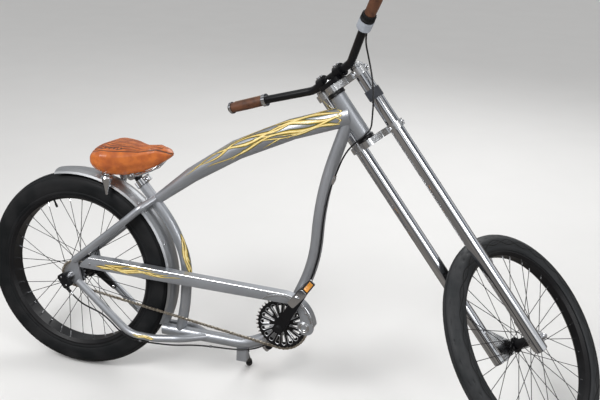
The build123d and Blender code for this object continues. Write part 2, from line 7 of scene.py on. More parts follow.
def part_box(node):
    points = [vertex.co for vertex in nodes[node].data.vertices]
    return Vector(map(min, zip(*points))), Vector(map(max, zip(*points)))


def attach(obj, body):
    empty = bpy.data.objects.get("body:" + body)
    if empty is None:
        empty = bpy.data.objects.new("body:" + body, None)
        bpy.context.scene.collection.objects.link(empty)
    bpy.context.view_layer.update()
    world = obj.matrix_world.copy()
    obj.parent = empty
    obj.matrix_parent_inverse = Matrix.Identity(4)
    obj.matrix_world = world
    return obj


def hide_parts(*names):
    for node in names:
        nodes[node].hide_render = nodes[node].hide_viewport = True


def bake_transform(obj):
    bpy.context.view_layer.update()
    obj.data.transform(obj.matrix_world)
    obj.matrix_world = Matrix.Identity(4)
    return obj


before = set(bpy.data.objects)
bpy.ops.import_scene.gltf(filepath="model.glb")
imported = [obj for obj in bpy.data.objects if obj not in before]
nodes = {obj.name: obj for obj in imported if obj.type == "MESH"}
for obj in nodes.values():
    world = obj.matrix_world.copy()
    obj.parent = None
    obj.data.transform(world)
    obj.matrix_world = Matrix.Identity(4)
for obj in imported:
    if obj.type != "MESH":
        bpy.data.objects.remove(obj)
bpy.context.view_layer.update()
print("frame loaded")

# The bicycle's own axes, in millimetres: x forward, y to the rider's left, z up the leaning frame
bike = {"lean": 7.2, "steer": 67.0, "headAngle": 51.5, "headFoot": (916, 0, 874), "rearRadius": 329.0,
        "crankCentre": (717, 0, 278), "crankTurn": 61.0, "crankLength": 165.0}


def middle(node):
    low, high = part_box(node)
    return (low + high) / 2


def shift(*spot):
    return Matrix.Translation(spot)


def spin(angle, axis):
    return Matrix.Rotation(angle, 4, axis)


def ray(angle, length=1.0):  # in the bicycle's upright plane, counted up from the front
    return Vector((length * cos(angle), 0, length * sin(angle)))


millimetres = Matrix.Scale(0.001, 4)
leaning = spin(-radians(bike["lean"]), "X")
rearCentre = middle("rear_hub")
bikeFrame = Matrix.Translation(rearCentre) @ leaning @ shift(0, 0, -bike["rearRadius"] / 1000)
headTurn = radians(bike["headAngle"])
headAxes = Matrix(((sin(headTurn), 0, -cos(headTurn)), (0, 1, 0), (cos(headTurn), 0, sin(headTurn))))
headFrame = Matrix.Translation(Vector(bike["headFoot"]) / 1000) @ headAxes.to_4x4()
forkFrame = bikeFrame @ headFrame @ spin(radians(bike["steer"]), "Z")
rearWheelFrame = Matrix.Translation(rearCentre) @ leaning
frontWheelFrame = Matrix.Translation(middle("front_hub")) @ forkFrame.to_3x3().to_4x4()
crankFrame = bikeFrame @ Matrix.Translation(Vector(bike["crankCentre"]) / 1000)
places = {"frame": bikeFrame, "steering": forkFrame, "cranks": crankFrame, "rear_wheel": rearWheelFrame,
          "front_wheel": frontWheelFrame}


# Shaders: an expression on values adds its Math nodes
class Value:
    def __init__(self, finish, socket):
        self.finish, self.socket = finish, socket

    def maths(self, operation, *numbers):
        return self.finish.add("ShaderNodeMath", {"operation": operation}, dict(enumerate(numbers)))

    def __add__(self, other):
        return self.maths("ADD", self, other)

    def __sub__(self, other):
        return self.maths("SUBTRACT", self, other)

    def __rsub__(self, other):
        return self.maths("SUBTRACT", other, self)

    def __mul__(self, other):
        return self.maths("MULTIPLY", self, other)

    def __pow__(self, other):
        return self.maths("POWER", self, other)

    def __gt__(self, other):
        return self.maths("GREATER_THAN", self, other)

    def __lt__(self, other):
        return self.maths("LESS_THAN", self, other)

    __radd__, __rmul__ = __add__, __mul__

    def wave(self):
        return self.maths("SINE", self)

    def size(self):
        return self.maths("ABSOLUTE", self)

    def least(self, other):
        return self.maths("MINIMUM", self, other)

    def ramp(self, low, high, bottom=0.0, top=1.0):
        return self.finish.add("ShaderNodeMapRange", {"clamp": True, "interpolation_type": "SMOOTHSTEP"},
                               {"Value": self, "From Min": low, "From Max": high, "To Min": bottom, "To Max": top})


class Finish:
    def __init__(self, name, **constants):
        self.material = bpy.data.materials.new(name)
        self.material.use_nodes = True
        self.tree = self.material.node_tree
        self.surface = self.tree.nodes["Principled BSDF"]
        for socket, value in constants.items():
            self.set(socket.replace("_", " "), value)

    def join(self, value, socket):
        if isinstance(value, Value):
            self.tree.links.new(value.socket, socket)
        else:
            socket.default_value = value

    def add(self, kind, settings=None, inputs=None, output=0):
        node = self.tree.nodes.new(kind)
        for key, value in (settings or {}).items():
            setattr(node, key, value)
        for key, value in (inputs or {}).items():
            self.join(value, node.inputs[key])
        return Value(self, node.outputs[output])

    def set(self, socket, value):
        if not isinstance(value, Value) and socket == "Base Color":
            value = (*value, 1)
        self.join(value, self.surface.inputs[socket])

    def place(self, matrix=None):
        spot = self.add("ShaderNodeTexCoord", output="Object")
        if matrix is None:
            return spot
        back = matrix.inverted()
        return self.add("ShaderNodeMapping",
                        inputs={"Vector": spot, "Location": back.translation, "Rotation": back.to_euler()})

    def parts(self, vector):
        node = self.tree.nodes.new("ShaderNodeSeparateXYZ")
        self.join(vector, node.inputs[0])
        return [Value(self, out) for out in node.outputs]

    def polar(self, matrix):
        x, y, z = self.parts(self.place(matrix))
        angle = x.maths("ARCTAN2", z, x)
        return (x * x + z * z) ** 0.5, angle, y

    def noise(self, scale, detail=3.0, vector=None):
        vector = vector or self.place()
        return self.add("ShaderNodeTexNoise", inputs={"Vector": vector, "Scale": scale, "Detail": detail})

    # stretched noise also makes the fork legs' painted reflection streaks, besides the fender's grain
    def stretched(self, x, y, z):  # noise on coordinates of its own, for grain that runs one way
        return self.noise(1.0, 3.0, self.add("ShaderNodeCombineXYZ", inputs={0: x, 1: y, 2: z}))

    def cells(self, scale):
        return self.add("ShaderNodeTexVoronoi", inputs={"Vector": self.place(), "Scale": scale}, output="Distance")

    def blend(self, factor, first, second):
        node = self.tree.nodes.new("ShaderNodeMix")
        node.data_type = "RGBA"
        for index, value in ((0, factor), (6, first), (7, second)):
            if isinstance(value, tuple):
                value = (*value, 1)
            self.join(value, node.inputs[index])
        return Value(self, node.outputs[2])

    def bump(self, height, distance):
        self.set("Normal", self.add("ShaderNodeBump", inputs={"Height": height, "Distance": distance, "Strength": 1.0}))

    # Blends two colours by a mask and sets roughness; on the fork legs the mask is painted reflection, on the front
    # tyre painted shade in the grooves
    def mixedColours(self, pattern, share, first, second, rough, spread):
        self.set("Base Color", self.blend(share, first, second))
        self.set("Roughness", rough + spread * pattern)

    def mottle(self, first, second, scale, detail=4.0, low=0.3):
        clouds = self.noise(scale, detail)
        self.set("Base Color", self.blend(clouds.ramp(low, 0.7), first, second))
        return clouds


def metal(name, colour, dark, rough, spread, grain, scale=40):
    finish = Finish(name, Metallic=1.0)
    clouds, specks = finish.mottle(colour, dark, scale, low=0.35), finish.noise(900, 2.0)
    finish.set("Roughness", rough + spread * clouds.ramp(0.3, 0.75) + 0.04 * specks)
    finish.bump(specks, grain)
    return finish


def enamel(name, colour, dark, rough, coat):
    finish = Finish(name, Coat_Weight=coat, Coat_Roughness=0.08, Specular_IOR_Level=0.25)
    finish.set("Roughness", rough + 0.1 * finish.mottle(colour, dark, 9, 3.0))
    finish.bump(finish.noise(260, 2.0), 0.00003)
    return finish


# Silver enamel over the whole frame: fine flakes under a clear coat
silver = {"colour": (0.40, 0.415, 0.445), "shade": (0.33, 0.345, 0.37), "flake": (0.68, 0.70, 0.74)}
framePaint = Finish("silverEnamel", Metallic=0.7, Coat_Weight=0.6, Coat_Roughness=0.09)
flakes = framePaint.cells(2600).ramp(0.05, 0.35)
tone = framePaint.blend(framePaint.noise(6, 3.0).ramp(0.3, 0.7), silver["colour"], silver["shade"])
framePaint.set("Base Color", framePaint.blend(0.35 * (1 - flakes), tone, silver["flake"]))
framePaint.set("Roughness", 0.3 + 0.08 * flakes + 0.05 * framePaint.noise(35, 3.0))
framePaint.bump(framePaint.noise(300, 2.0), 0.00002)

chrome = metal("chrome", (0.83, 0.84, 0.86), (0.72, 0.73, 0.76), 0.07, 0.08, 0.000004, scale=25)
polished = metal("polishedAlloy", (0.80, 0.81, 0.82), (0.68, 0.69, 0.71), 0.17, 0.12, 0.00001)
steel = metal("boltSteel", (0.62, 0.63, 0.65), (0.42, 0.42, 0.43), 0.28, 0.14, 0.00002, scale=160)
darkSteel = metal("darkSteel", (0.16, 0.16, 0.17), (0.09, 0.09, 0.095), 0.3, 0.14, 0.00002, scale=120)
chainSteel = metal("oiledChain", (0.66, 0.62, 0.55), (0.30, 0.25, 0.19), 0.26, 0.18, 0.00004, scale=220)
blackGloss = enamel("blackEnamel", (0.004, 0.004, 0.005), (0.007, 0.007, 0.008), 0.24, 0.1)
blackSatin = enamel("blackAnodised", (0.005, 0.005, 0.006), (0.009, 0.009, 0.010), 0.32, 0.05)
sleeveGrey = enamel("sleeveGrey", (0.052, 0.056, 0.066), (0.036, 0.039, 0.047), 0.42, 0.1)
gold = enamel("flameGold", (0.60, 0.40, 0.10), (0.48, 0.29, 0.05), 0.32, 0.5)
# Flame layers: cream is a painted highlight; olive is an outline that is partly painted shadow
creamHighlight = enamel("flameCreamHighlight", (0.86, 0.74, 0.36), (0.78, 0.62, 0.24), 0.3, 0.7)
oliveOutlineShade = enamel("flameOliveOutlineShade", (0.10, 0.10, 0.02), (0.065, 0.065, 0.015), 0.4, 0.1)

# Chainring: black enamel disc, bare steel teeth beyond its rim
ringFinish = Finish("chainringEnamel", Roughness=0.28, Coat_Weight=0.1, Specular_IOR_Level=0.3)
bare = ringFinish.polar(crankFrame)[0] > 0.0785
mixedColours = ringFinish.blend(ringFinish.noise(160, 3.0).ramp(0.3, 0.7), (0.004, 0.004, 0.005), (0.007, 0.007, 0.008))
ringFinish.set("Base Color", ringFinish.blend(bare, mixedColours, (0.56, 0.55, 0.53)))
ringFinish.set("Metallic", bare)

# Brushed fender steel: fine scratches round the wheel
brushed = Finish("brushedSteel", Metallic=0.9)
reach, turn, across = brushed.polar(rearWheelFrame)
scratches = brushed.stretched(reach * 1500, turn * 9, across * 1500)
brushed.mixedColours(scratches, scratches.ramp(0.3, 0.7), (0.36, 0.37, 0.385), (0.48, 0.49, 0.505), 0.34, 0.16)
brushed.bump(scratches, 0.00002)

# Fork legs: chrome with painted reflection streaks, lighter and darker, along their length; the same streaks vary the
# roughness and bump
legChrome = Finish("forkChrome", Metallic=1.0)
alongX, alongY, alongZ = legChrome.parts(legChrome.place(forkFrame))
reflectionStreaks = legChrome.stretched(alongX * 160, alongY * 160, alongZ * 5)
legChrome.mixedColours(reflectionStreaks, reflectionStreaks.ramp(0.35, 0.65), (0.84, 0.85, 0.87), (0.60, 0.62, 0.66), 0.06, 0.1)
legChrome.bump(reflectionStreaks, 0.00001)

rubber = Finish("blackRubber", Roughness=0.6, Specular_IOR_Level=0.3)
rubber.mottle((0.005, 0.005, 0.006), (0.011, 0.011, 0.011), 45)
rubber.bump(rubber.noise(1400, 2.0), 0.00005)

greyPlastic = Finish("greyPlastic", Roughness=0.42)
greyPlastic.mottle((0.34, 0.37, 0.41), (0.28, 0.30, 0.34), 60, 3.0)
greyPlastic.bump(greyPlastic.noise(2200, 2.0), 0.00004)

amber = Finish("amberLens", Roughness=0.12, Coat_Weight=0.5)
prisms = amber.cells(420)
amber.set("Base Color", amber.blend(prisms.ramp(0.1, 0.6), (0.95, 0.52, 0.05), (0.80, 0.28, 0.02)))
amber.bump(prisms, 0.0004)
print("metals and paints made")


# Modelling helpers
def placeObject(name, data):
    made = bpy.data.objects.new(name, data)
    bpy.context.scene.collection.objects.link(made)
    return made


def finishPiece(name, shape, body, finish, stands=(), sharp=40, bevel=None, place=None):
    place = places[body] if place is None else place
    bmesh.ops.transform(shape, matrix=place @ millimetres, verts=shape.verts)
    bmesh.ops.remove_doubles(shape, verts=shape.verts, dist=0.000002)
    bmesh.ops.recalc_face_normals(shape, faces=shape.faces)
    mesh = bpy.data.meshes.new(name)
    shape.to_mesh(mesh)
    shape.free()
    mesh.shade_smooth()
    mesh.set_sharp_from_angle(angle=radians(sharp))
    mesh.materials.append(finish.material)
    piece = placeObject(name, mesh)
    if bevel:
        edge = piece.modifiers.new("edge", "BEVEL")
        edge.width, edge.segments = bevel / 1000, 2
        edge.limit_method, edge.angle_limit = "ANGLE", radians(35)
    if body:
        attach(piece, body)
    if stands:
        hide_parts(*stands)
    return piece


def facing(origin, direction):
    turn = Vector(direction).normalized().to_track_quat("Z", "Y").to_matrix().to_4x4()
    return Matrix.Translation(Vector(origin)) @ turn


def sideways(spot, hand):  # across the bicycle, to the left for 1 and to the right for -1
    return Matrix.Translation(spot) @ spin(-hand * pi / 2, "X")


def vertsOf(items):
    return [item for item in items if isinstance(item, bmesh.types.BMVert)]


def edgesOf(items):
    return [item for item in items if isinstance(item, bmesh.types.BMEdge)]


def roundedOutline(halfWidth, halfHeight, radius):
    outline = []
    for corner in range(4):
        x = (halfWidth - radius) * (1 if corner in (0, 3) else -1)
        y = (halfHeight - radius) * (1 if corner < 2 else -1)
        for bend in range(5):
            angle = (corner + bend / 4) * pi / 2
            outline.append((x + radius * cos(angle), y + radius * sin(angle)))
    return outline


def addRound(shape, place, radius, length, sides, top=None):
    bmesh.ops.create_cone(shape, cap_ends=True, segments=sides, radius1=radius, radius2=radius if top is None else top,
                          depth=length, matrix=place @ shift(0, 0, length / 2))


def addTurned(shape, place, profile, steps=32):
    points = [shape.verts.new((radius, 0, along)) for radius, along in profile]
    edges = [shape.edges.new(pair) for pair in zip(points, points[1:])]
    bmesh.ops.spin(shape, geom=points + edges, axis=(0, 0, 1), cent=(0, 0, 0), angle=2 * pi, steps=steps,
                   use_merge=True)
    whole, linked = set(points), list(points)
    for vert in linked:  # the list grows while the turned piece's own points are found
        for edge in vert.link_edges:
            for other in edge.verts:
                if other not in whole:
                    whole.add(other)
                    linked.append(other)
    bmesh.ops.remove_doubles(shape, verts=linked, dist=0.0005)
    bmesh.ops.transform(shape, matrix=place, verts=[vert for vert in linked if vert.is_valid])


def addTube(shape, points, radius, sides):
    spine = [Vector(point) for point in points]
    way = spine[1] - spine[0]
    turn = way.normalized().to_track_quat("Z", "Y")
    ring = bmesh.ops.create_circle(shape, cap_ends=True, segments=sides, radius=radius,
                                   matrix=Matrix.Translation(spine[0]) @ turn.to_matrix().to_4x4())["verts"]
    edges = list({edge for vert in ring for edge in vert.link_edges})
    for index in range(1, len(spine)):
        last = index == len(spine) - 1
        after = spine[index] - spine[index - 1] if last else (spine[index + 1] - spine[index - 1])
        grown = bmesh.ops.extrude_edge_only(shape, edges=edges)["geom"]
        verts, edges = vertsOf(grown), edgesOf(grown)
        swing = way.rotation_difference(after).to_matrix().to_4x4()
        step = Matrix.Translation(spine[index]) @ swing @ Matrix.Translation(-spine[index - 1])
        bmesh.ops.transform(shape, matrix=step, verts=verts)
        way = after
    bmesh.ops.contextual_create(shape, geom=edges)


def addPlate(shape, outline, thickness, place, edge=0.0):
    corners = [shape.verts.new((x, y, 0)) for x, y in outline]
    face = shape.faces.new(corners)
    grown = bmesh.ops.extrude_face_region(shape, geom=[face])["geom"]
    top = vertsOf(grown)
    bmesh.ops.translate(shape, vec=(0, 0, thickness), verts=top)
    if edge:
        corners += bmesh.ops.bevel(shape, geom=edgesOf(grown), offset=edge, segments=2, affect="EDGES", profile=0.5,
                                   material=-1)["verts"]
    whole = {vert for vert in corners + top if vert.is_valid}
    for face in list(shape.faces):
        if any(vert in whole for vert in face.verts):
            whole.update(face.verts)
    bmesh.ops.transform(shape, matrix=place, verts=list(whole))


def dress(finish, *names):
    for name in names:
        for holder in nodes[name].material_slots:
            holder.material = finish.material


# Kept CAD pieces take their finishes
dress(framePaint, "head_tube", "seat_tube", "top_tube", "down_tube", "bottom_tube", "bottom_bracket_shell",
      "rear_dropouts", "chain_guard", "right_seat_stay", "left_seat_stay", "right_chainstay", "left_chainstay",
      "stand_bracket")
dress(brushed, "rear_fender")
dress(blackGloss, "crankset", "stem_clamp", "handlebar", "brake_arm")
dress(ringFinish, "chainring")
dress(blackSatin, "front_hub", "rear_rim", "front_rim", "rear_spokes", "front_spokes", "headset_cups", "rear_hub",
      "click_box", "seat_post", "stand_leg")
dress(steel, "rear_sprocket", "rear_axle", "steerer", "front_axle")
dress(polished, "lower_crown", "upper_crown", "fork_dropouts")
dress(legChrome, "right_fork_leg", "left_fork_leg")
dress(sleeveGrey, "leg_sleeves")
dress(chrome, "grip_rings", "saddle_frame", "seat_collar")
dress(greyPlastic, "shifter")
dress(rubber, "stand_foot", "right_grip", "left_grip", "saddle", "rear_tyre", "front_tyre", "right_pedal",
      "left_pedal")
dress(chainSteel, "chain")

# Rear tyre: broad ribs with grooves between them. Columns: radius, distance from the middle
rearTyre = {"steps": 128,
            "profile": ((257, 31), (262, 33.5), (266, 34.6), (268.5, 33.6), (272, 35.6), (284, 37.3), (296, 37.8),
                        (304, 37.2), (308.5, 35.8), (311.5, 34.4), (313.0, 33.2), (312.2, 32.2), (311.2, 31.4),
                        (312.0, 30.0), (314.6, 29.6), (317.2, 28.2), (319.8, 25.2), (321.6, 22.2), (321.4, 20.9),
                        (319.8, 20.0), (320.4, 17.6), (323.4, 17.0), (325.2, 15.2), (326.6, 12.0), (328.0, 6.4),
                        (328.8, 0))}
tyreRubber = Finish("tyreRubber", Specular_IOR_Level=0.22)
dust = tyreRubber.noise(14, 5.0).ramp(0.35, 0.7)
tyreRubber.mixedColours(dust, dust, (0.005, 0.006, 0.007), (0.013, 0.013, 0.014), 0.52, 0.2)
tyreRubber.bump(tyreRubber.noise(1100, 3.0), 0.00006)


def makeTyre(name, table, body, finish, stands):
    shape, half = bmesh.new(), table["profile"]
    ring = [*half, *((radius, -out) for radius, out in half[-2::-1])]
    points = [shape.verts.new((radius, out, 0)) for radius, out in ring]
    edges = [shape.edges.new(pair) for pair in zip(points, points[1:] + points[:1])]
    bmesh.ops.spin(shape, geom=points + edges, axis=(0, 1, 0), cent=(0, 0, 0), angle=2 * pi, steps=table["steps"],
                   use_merge=True)
    for low, high, every, phase, depth, rim in table.get("blocks", ()):
        wanted = []
        for face in shape.faces:
            spot = face.calc_center_median()
            count = int((atan2(spot.z, spot.x) + pi) / (2 * pi) * table["steps"] + 0.01)
            if low < hypot(spot.x, spot.z) < high and abs(spot.y) > 4 and (count + phase) % every == 0:
                wanted.append(face)
        bmesh.ops.inset_individual(shape, faces=wanted, thickness=rim, depth=depth, use_even_offset=True)
    finishPiece(name, shape, body, finish, (stands,), 50)


makeTyre("ribbedTyre", rearTyre, "rear_wheel", tyreRubber, "rear_tyre")

# Front tyre: leaf outlines moulded round the wall, with painted shade in their grooves, and scallops along the tread's
# edge
# Columns of the blocks: inner and outer radius, every how many faces, first face, depth, rim
frontTyre = {"steps": 108,
             "profile": ((284.6, 23), (289, 26.4), (293, 27.6), (295, 27.0), (299, 28.6), (312, 29.4), (318, 28.8),
                         (325, 25.6), (331.5, 20.4), (334.8, 16.2), (336.2, 14.8), (338.4, 11.0), (340.2, 6.4),
                         (340.8, 2.2), (339.0, 1.4), (339.0, 0)),
             "blocks": ((325.5, 331, 2, 0, -1.8, 2.6), (336.5, 338, 3, 1, -1.2, 1.4))}
leaves = {"middle": 0.3075, "inside": 0.2965, "sway": 0.0075, "waves": 14}
leafRubber = Finish("leafTyreRubber", Specular_IOR_Level=0.35)
reach, turn = leafRubber.polar(frontWheelFrame)[:2]
sway = (turn * leaves["waves"]).wave() * leaves["sway"]
leaf = (reach - (leaves["middle"] + sway)).size().least((reach - (leaves["middle"] - sway)).size())
veins = (reach - leaves["middle"] - (turn * 2 * leaves["waves"]).wave() * 0.002).size()
# Leaf and vein grooves painted near black against the dusty rubber: painted shade in the grooves, besides their bump
shadedGrooveLines = leaf.ramp(0.0009, 0.0020).least(veins.ramp(0.0004, 0.0011, 0.3, 1.0))
shadedGrooveLines = shadedGrooveLines * (reach > leaves["inside"]) + (reach < leaves["inside"])
dust = leafRubber.noise(14, 5.0).ramp(0.35, 0.7)
dusty = leafRubber.blend(dust, (0.016, 0.018, 0.020), (0.028, 0.029, 0.031))
leafRubber.mixedColours(dust, shadedGrooveLines, (0.002, 0.002, 0.002), dusty, 0.5, 0.2)
leafRubber.bump(shadedGrooveLines + 0.03 * leafRubber.noise(1100, 3.0), 0.0012)
makeTyre("leafTyre", frontTyre, "front_wheel", leafRubber, "front_tyre")

# Spoke nipples, the hooked spoke heads at the flanges and a valve in each rim
# Columns: name, radius of the nipples' seat in the rim, flange's radius and distance out, valve's turn
wheels = (("rear", 244.0, 36.0, 32.0, 2.0), ("front", 270.0, 22.0, 34.0, 4.42))
nipple = {"count": 36, "length": 13.0, "radius": 2.5, "tip": 1.9, "out": 4.0, "lead": 12}
spokeHead = {"radius": 2.3, "inset": 2.0, "outer": 4.2, "inner": -0.95, "proud": 1.2}
valveProfile = ((0, 0), (4.6, 0), (4.6, 2.5), (3.2, 3), (3, 14), (4.0, 15), (4.0, 24), (3.4, 27), (0, 27))
for name, rimSeat, flange, offset, valveTurn in wheels:
    nipples, heads, valve = bmesh.new(), bmesh.new(), bmesh.new()
    for index in range(nipple["count"]):
        hand = 1 if index % 2 else -1
        lead = 1 if index % 4 < 2 else -1
        rimTurn = 2 * pi * index / nipple["count"]
        tip = ray(rimTurn, rimSeat)
        tip.y = hand * nipple["out"]
        foot = ray(rimTurn + lead * nipple["lead"] * pi / nipple["count"], flange - spokeHead["inset"])
        foot.y = hand * (offset + spokeHead["outer" if lead > 0 else "inner"])
        addRound(nipples, facing(tip, foot - tip), nipple["radius"], nipple["length"], 8, nipple["tip"])
        foot.y += hand * lead * spokeHead["proud"]
        bmesh.ops.create_uvsphere(heads, u_segments=8, v_segments=5, radius=spokeHead["radius"],
                                  matrix=Matrix.Translation(foot))
    addTurned(valve, facing(ray(valveTurn, rimSeat + 1), -ray(valveTurn)), valveProfile, 16)
    finishPiece(name + "Nipples", nipples, name + "_wheel", chrome)
    finishPiece(name + "SpokeHeads", heads, name + "_wheel", darkSteel)
    finishPiece(name + "Valve", valve, name + "_wheel", rubber)
print("wheels made")

# Chain: 144 links round both sprockets, inner and outer plates in turn
# The roller's and the pin's columns: radius, length, sides
chain = {"links": 144, "offset": -50.0, "rear": 40.6, "ring": 80.93, "waist": 2.5, "bulge": 3.9, "thick": 1.0,
         "outer": (-3.8, 2.8), "inner": (-2.7, 1.7), "roller": (3.9, 3.4, 8), "pin": (1.9, 8.6, 6)}
ringSpot, axleSpot = Vector(bike["crankCentre"]), Vector((0, 0, bike["rearRadius"]))
run = ringSpot - axleSpot
lie = atan2(run.z, run.x)
spread = asin((chain["ring"] - chain["rear"]) / run.length)
straight = run.length * cos(spread)
ringWrap, axleWrap = pi + 2 * spread, pi - 2 * spread
total = 2 * straight + chain["ring"] * ringWrap + chain["rear"] * axleWrap


def alongChain(distance):
    distance %= total
    upper, lower = lie + pi / 2 + spread, lie - pi / 2 - spread
    if distance < straight:
        return axleSpot + ray(upper, chain["rear"]) + ray(upper - pi / 2, distance)
    distance -= straight
    if distance < chain["ring"] * ringWrap:
        return ringSpot + ray(upper - distance / chain["ring"], chain["ring"])
    distance -= chain["ring"] * ringWrap
    if distance < straight:
        return ringSpot + ray(lower, chain["ring"]) + ray(lower - pi / 2, distance)
    return axleSpot + ray(lower - (distance - straight) / chain["rear"], chain["rear"])


def linkPlate(shape, length, out, place):
    made = bmesh.ops.create_circle(shape, cap_ends=True, segments=12, radius=chain["bulge"])
    for vert in made["verts"]:
        narrow = abs(vert.co.x) < 1.2
        vert.co.x += length / 2 if vert.co.x > 0.01 else -length / 2 if vert.co.x < -0.01 else 0
        if narrow:
            vert.co.x, vert.co.y = 0, copysign(chain["waist"], vert.co.y)
    face = made["verts"][0].link_faces[0]
    grown = bmesh.ops.extrude_face_region(shape, geom=[face])["geom"]
    top = vertsOf(grown)
    bmesh.ops.translate(shape, vec=(0, 0, chain["thick"]), verts=top)
    bmesh.ops.transform(shape, matrix=place @ shift(0, 0, out), verts=made["verts"] + top)


links, across = bmesh.new(), Vector((0, 1, 0))
for index in range(chain["links"]):
    start, end = (alongChain(total * (index + step) / chain["links"]) for step in (0, 1))
    way = (end - start).normalized()
    place = Matrix.Translation((start + end) / 2 + across * chain["offset"])
    place @= Matrix((way, across.cross(way), across)).transposed().to_4x4()
    for out in chain["outer" if index % 2 else "inner"]:
        linkPlate(links, (end - start).length, out, place)
    for radius, length, sides in (chain["roller"], chain["pin"]):
        addRound(links, sideways(start + across * (chain["offset"] - length / 2), 1), radius, length, sides)
finishPiece("linkChain", links, "frame", chainSteel, ("chain",), 30)

# Chainring: a bright bevel round each teardrop window
# Columns of the windows: turn, inner and outer end, radius of the outer and of the inner end
ring = {"face": -54.95, "count": 9, "lip": 2.9, "rise": 0.9,
        "windows": ((0, 27, 66, 5.2, 1.6), (20, 42, 66, 5.2, 2.6))}
bevels = bmesh.new()
for first, inner, outer, outerEnd, innerEnd in ring["windows"]:
    for step in range(ring["count"]):
        wide = outerEnd + ring["lip"]
        made = bmesh.ops.create_circle(bevels, cap_ends=True, segments=28, radius=wide)
        slant = (outerEnd - innerEnd) / (outer - outerEnd - inner)
        for vert in made["verts"]:
            if vert.co.x / wide < -slant + 0.001:
                vert.co = Vector((inner, 0, 0)) + vert.co * ((innerEnd + ring["lip"] * 0.6) / wide)
            else:
                vert.co.x += outer - outerEnd
        face = made["verts"][0].link_faces[0]
        bmesh.ops.inset_individual(bevels, faces=[face], thickness=ring["lip"] * 0.35, depth=ring["rise"])
        inside = bmesh.ops.inset_individual(bevels, faces=[face], thickness=ring["lip"] * 0.6,
                                            depth=-ring["rise"] * 1.6)
        whole = set(made["verts"])
        for ringFace in inside["faces"]:
            whole.update(ringFace.verts)
        bmesh.ops.delete(bevels, geom=[face], context="FACES_ONLY")
        turn = spin(radians(-first - 360 * step / ring["count"]), "Y")
        bmesh.ops.transform(bevels, matrix=turn @ sideways((0, ring["face"], 0), -1),
                            verts=[vert for vert in whole if vert.is_valid])
finishPiece("chainringBevels", bevels, "cranks", steel, (), 25)

# Domed caps over both ends of the cranks' spindle
crankCaps = bmesh.new()
cap = ((0, 4.2), (4, 3.9), (8, 2.6), (11, 0.8), (12.4, 0.6), (12.8, -0.6), (0, -0.6))
for hand in (-1, 1):
    addTurned(crankCaps, sideways((0, hand * 92, 0), hand), cap, 32)
finishPiece("crankCaps", crankCaps, "cranks", blackSatin)

# Pedals: ribbed black blocks between bright end plates, with amber reflectors fore and aft
pedal = {"near": 96.0, "length": 95.0, "width": 62.0, "thick": 24.0, "corner": 6.0, "plate": 3.0, "tilt": -50.0,
         "block": (19, 88, 22), "blockSpot": 20.5, "ribs": 21, "lensSpot": 29.8,
         "lens": ((-30, -7), (30, -7), (32, -5), (32, 5), (30, 7), (-30, 7), (-32, 5), (-32, -5)),
         "sleeve": ((0, 1), (8, 1), (8.5, 4), (7.5, 12), (7.5, 83), (9, 90), (9, 95.4), (6, 97.5), (0, 97.8))}
for hand, name in ((-1, "right"), (1, "left")):
    tip = ray(radians(bike["crankTurn"]), bike["crankLength"]) * -hand
    body = name + "_pedal"
    places[body] = crankFrame @ Matrix.Translation(tip / 1000) @ spin(radians(pedal["tilt"]), "Y")
    centre = hand * (pedal["near"] + pedal["length"] / 2)
    blocks, plates, lenses = bmesh.new(), bmesh.new(), bmesh.new()
    for fore in (-1, 1):
        brick = shift(fore * pedal["blockSpot"], centre, 0) @ Matrix.Diagonal((*pedal["block"], 1))
        made = bmesh.ops.create_cube(blocks, size=1, matrix=brick)
        cuts = {edge for vert in made["verts"] for edge in vert.link_edges
                if abs((edge.verts[0].co - edge.verts[1].co).normalized().y) > 0.9}
        bmesh.ops.subdivide_edges(blocks, edges=list(cuts), cuts=pedal["ribs"] - 1, use_grid_fill=True)
        top = [face for face in blocks.faces
               if abs(face.normal.z) > 0.9 and fore * face.calc_center_median().x > 0]
        ribs = [face for face in top
                if round((face.calc_center_median().y - centre) / pedal["block"][1] * pedal["ribs"] + 10) % 2]
        bmesh.ops.inset_individual(blocks, faces=ribs, thickness=0.5, depth=-2.2)
        lensPlace = shift(fore * pedal["lensSpot"], centre, 0) @ spin(fore * pi / 2, "Y") @ spin(pi / 2, "Z")
        addPlate(lenses, pedal["lens"], 1.4, lensPlace, 0.5)
    outline = roundedOutline(pedal["width"] / 2, pedal["thick"] / 2, pedal["corner"])
    for near in (pedal["near"], pedal["near"] + pedal["length"] - pedal["plate"]):
        addPlate(plates, outline, pedal["plate"], sideways((0, hand * near, 0), hand), 0.6)
    addTurned(plates, sideways((0, hand * pedal["near"], 0), hand), pedal["sleeve"], 24)
    finishPiece(name + "PedalBlocks", blocks, body, rubber, (body,), bevel=0.4)
    finishPiece(name + "PedalPlates", plates, body, chrome)
    finishPiece(name + "PedalLenses", lenses, body, amber)
print("drive made")

# Chain guard: its face in one outline, from the foot round the hook's opening and lobe and back along the top
guard = {"face": -77.0, "wall": 1.6, "depth": 33.0, "hook": 108.0, "end": 8.5, "lobe": 26.0, "hole": 45.4,
         "beadInside": 99.0, "beadOutside": 102.6, "proud": 1.4, "rim": 1.9, "foot": [(34, 364), (60, 363), (717, 356)],
         "back": [(150, 400), (66, 400), (40, 378)], "backUnder": [(42, 378), (67, 398.4), (150, 398.4)],
         "backRim": [(600, 387.6), (400, 392.4), (200, 397.2), (150, 398.6), (68, 398.6)],
         "boss": ((8.5, 0), (8.5, 2.2), (9.6, 2.8), (11, 2.2), (11.4, 1), (14, 1), (15.4, 2.2), (17, 1.4),
                  (17.6, -0.4), (8.5, -0.4))}
ringCentre, holeCentre, bossCentre = Vector((717, 278)), Vector((734, 310.6)), Vector((793, 289))


def arcPoints(centre, radius, start, end, steps):
    turns = [radians(start + (end - start) * step / steps) for step in range(steps + 1)]
    return [centre + Vector((cos(turn), sin(turn))) * radius for turn in turns]


def upright(out):
    return sideways((0, out, 0), -1)


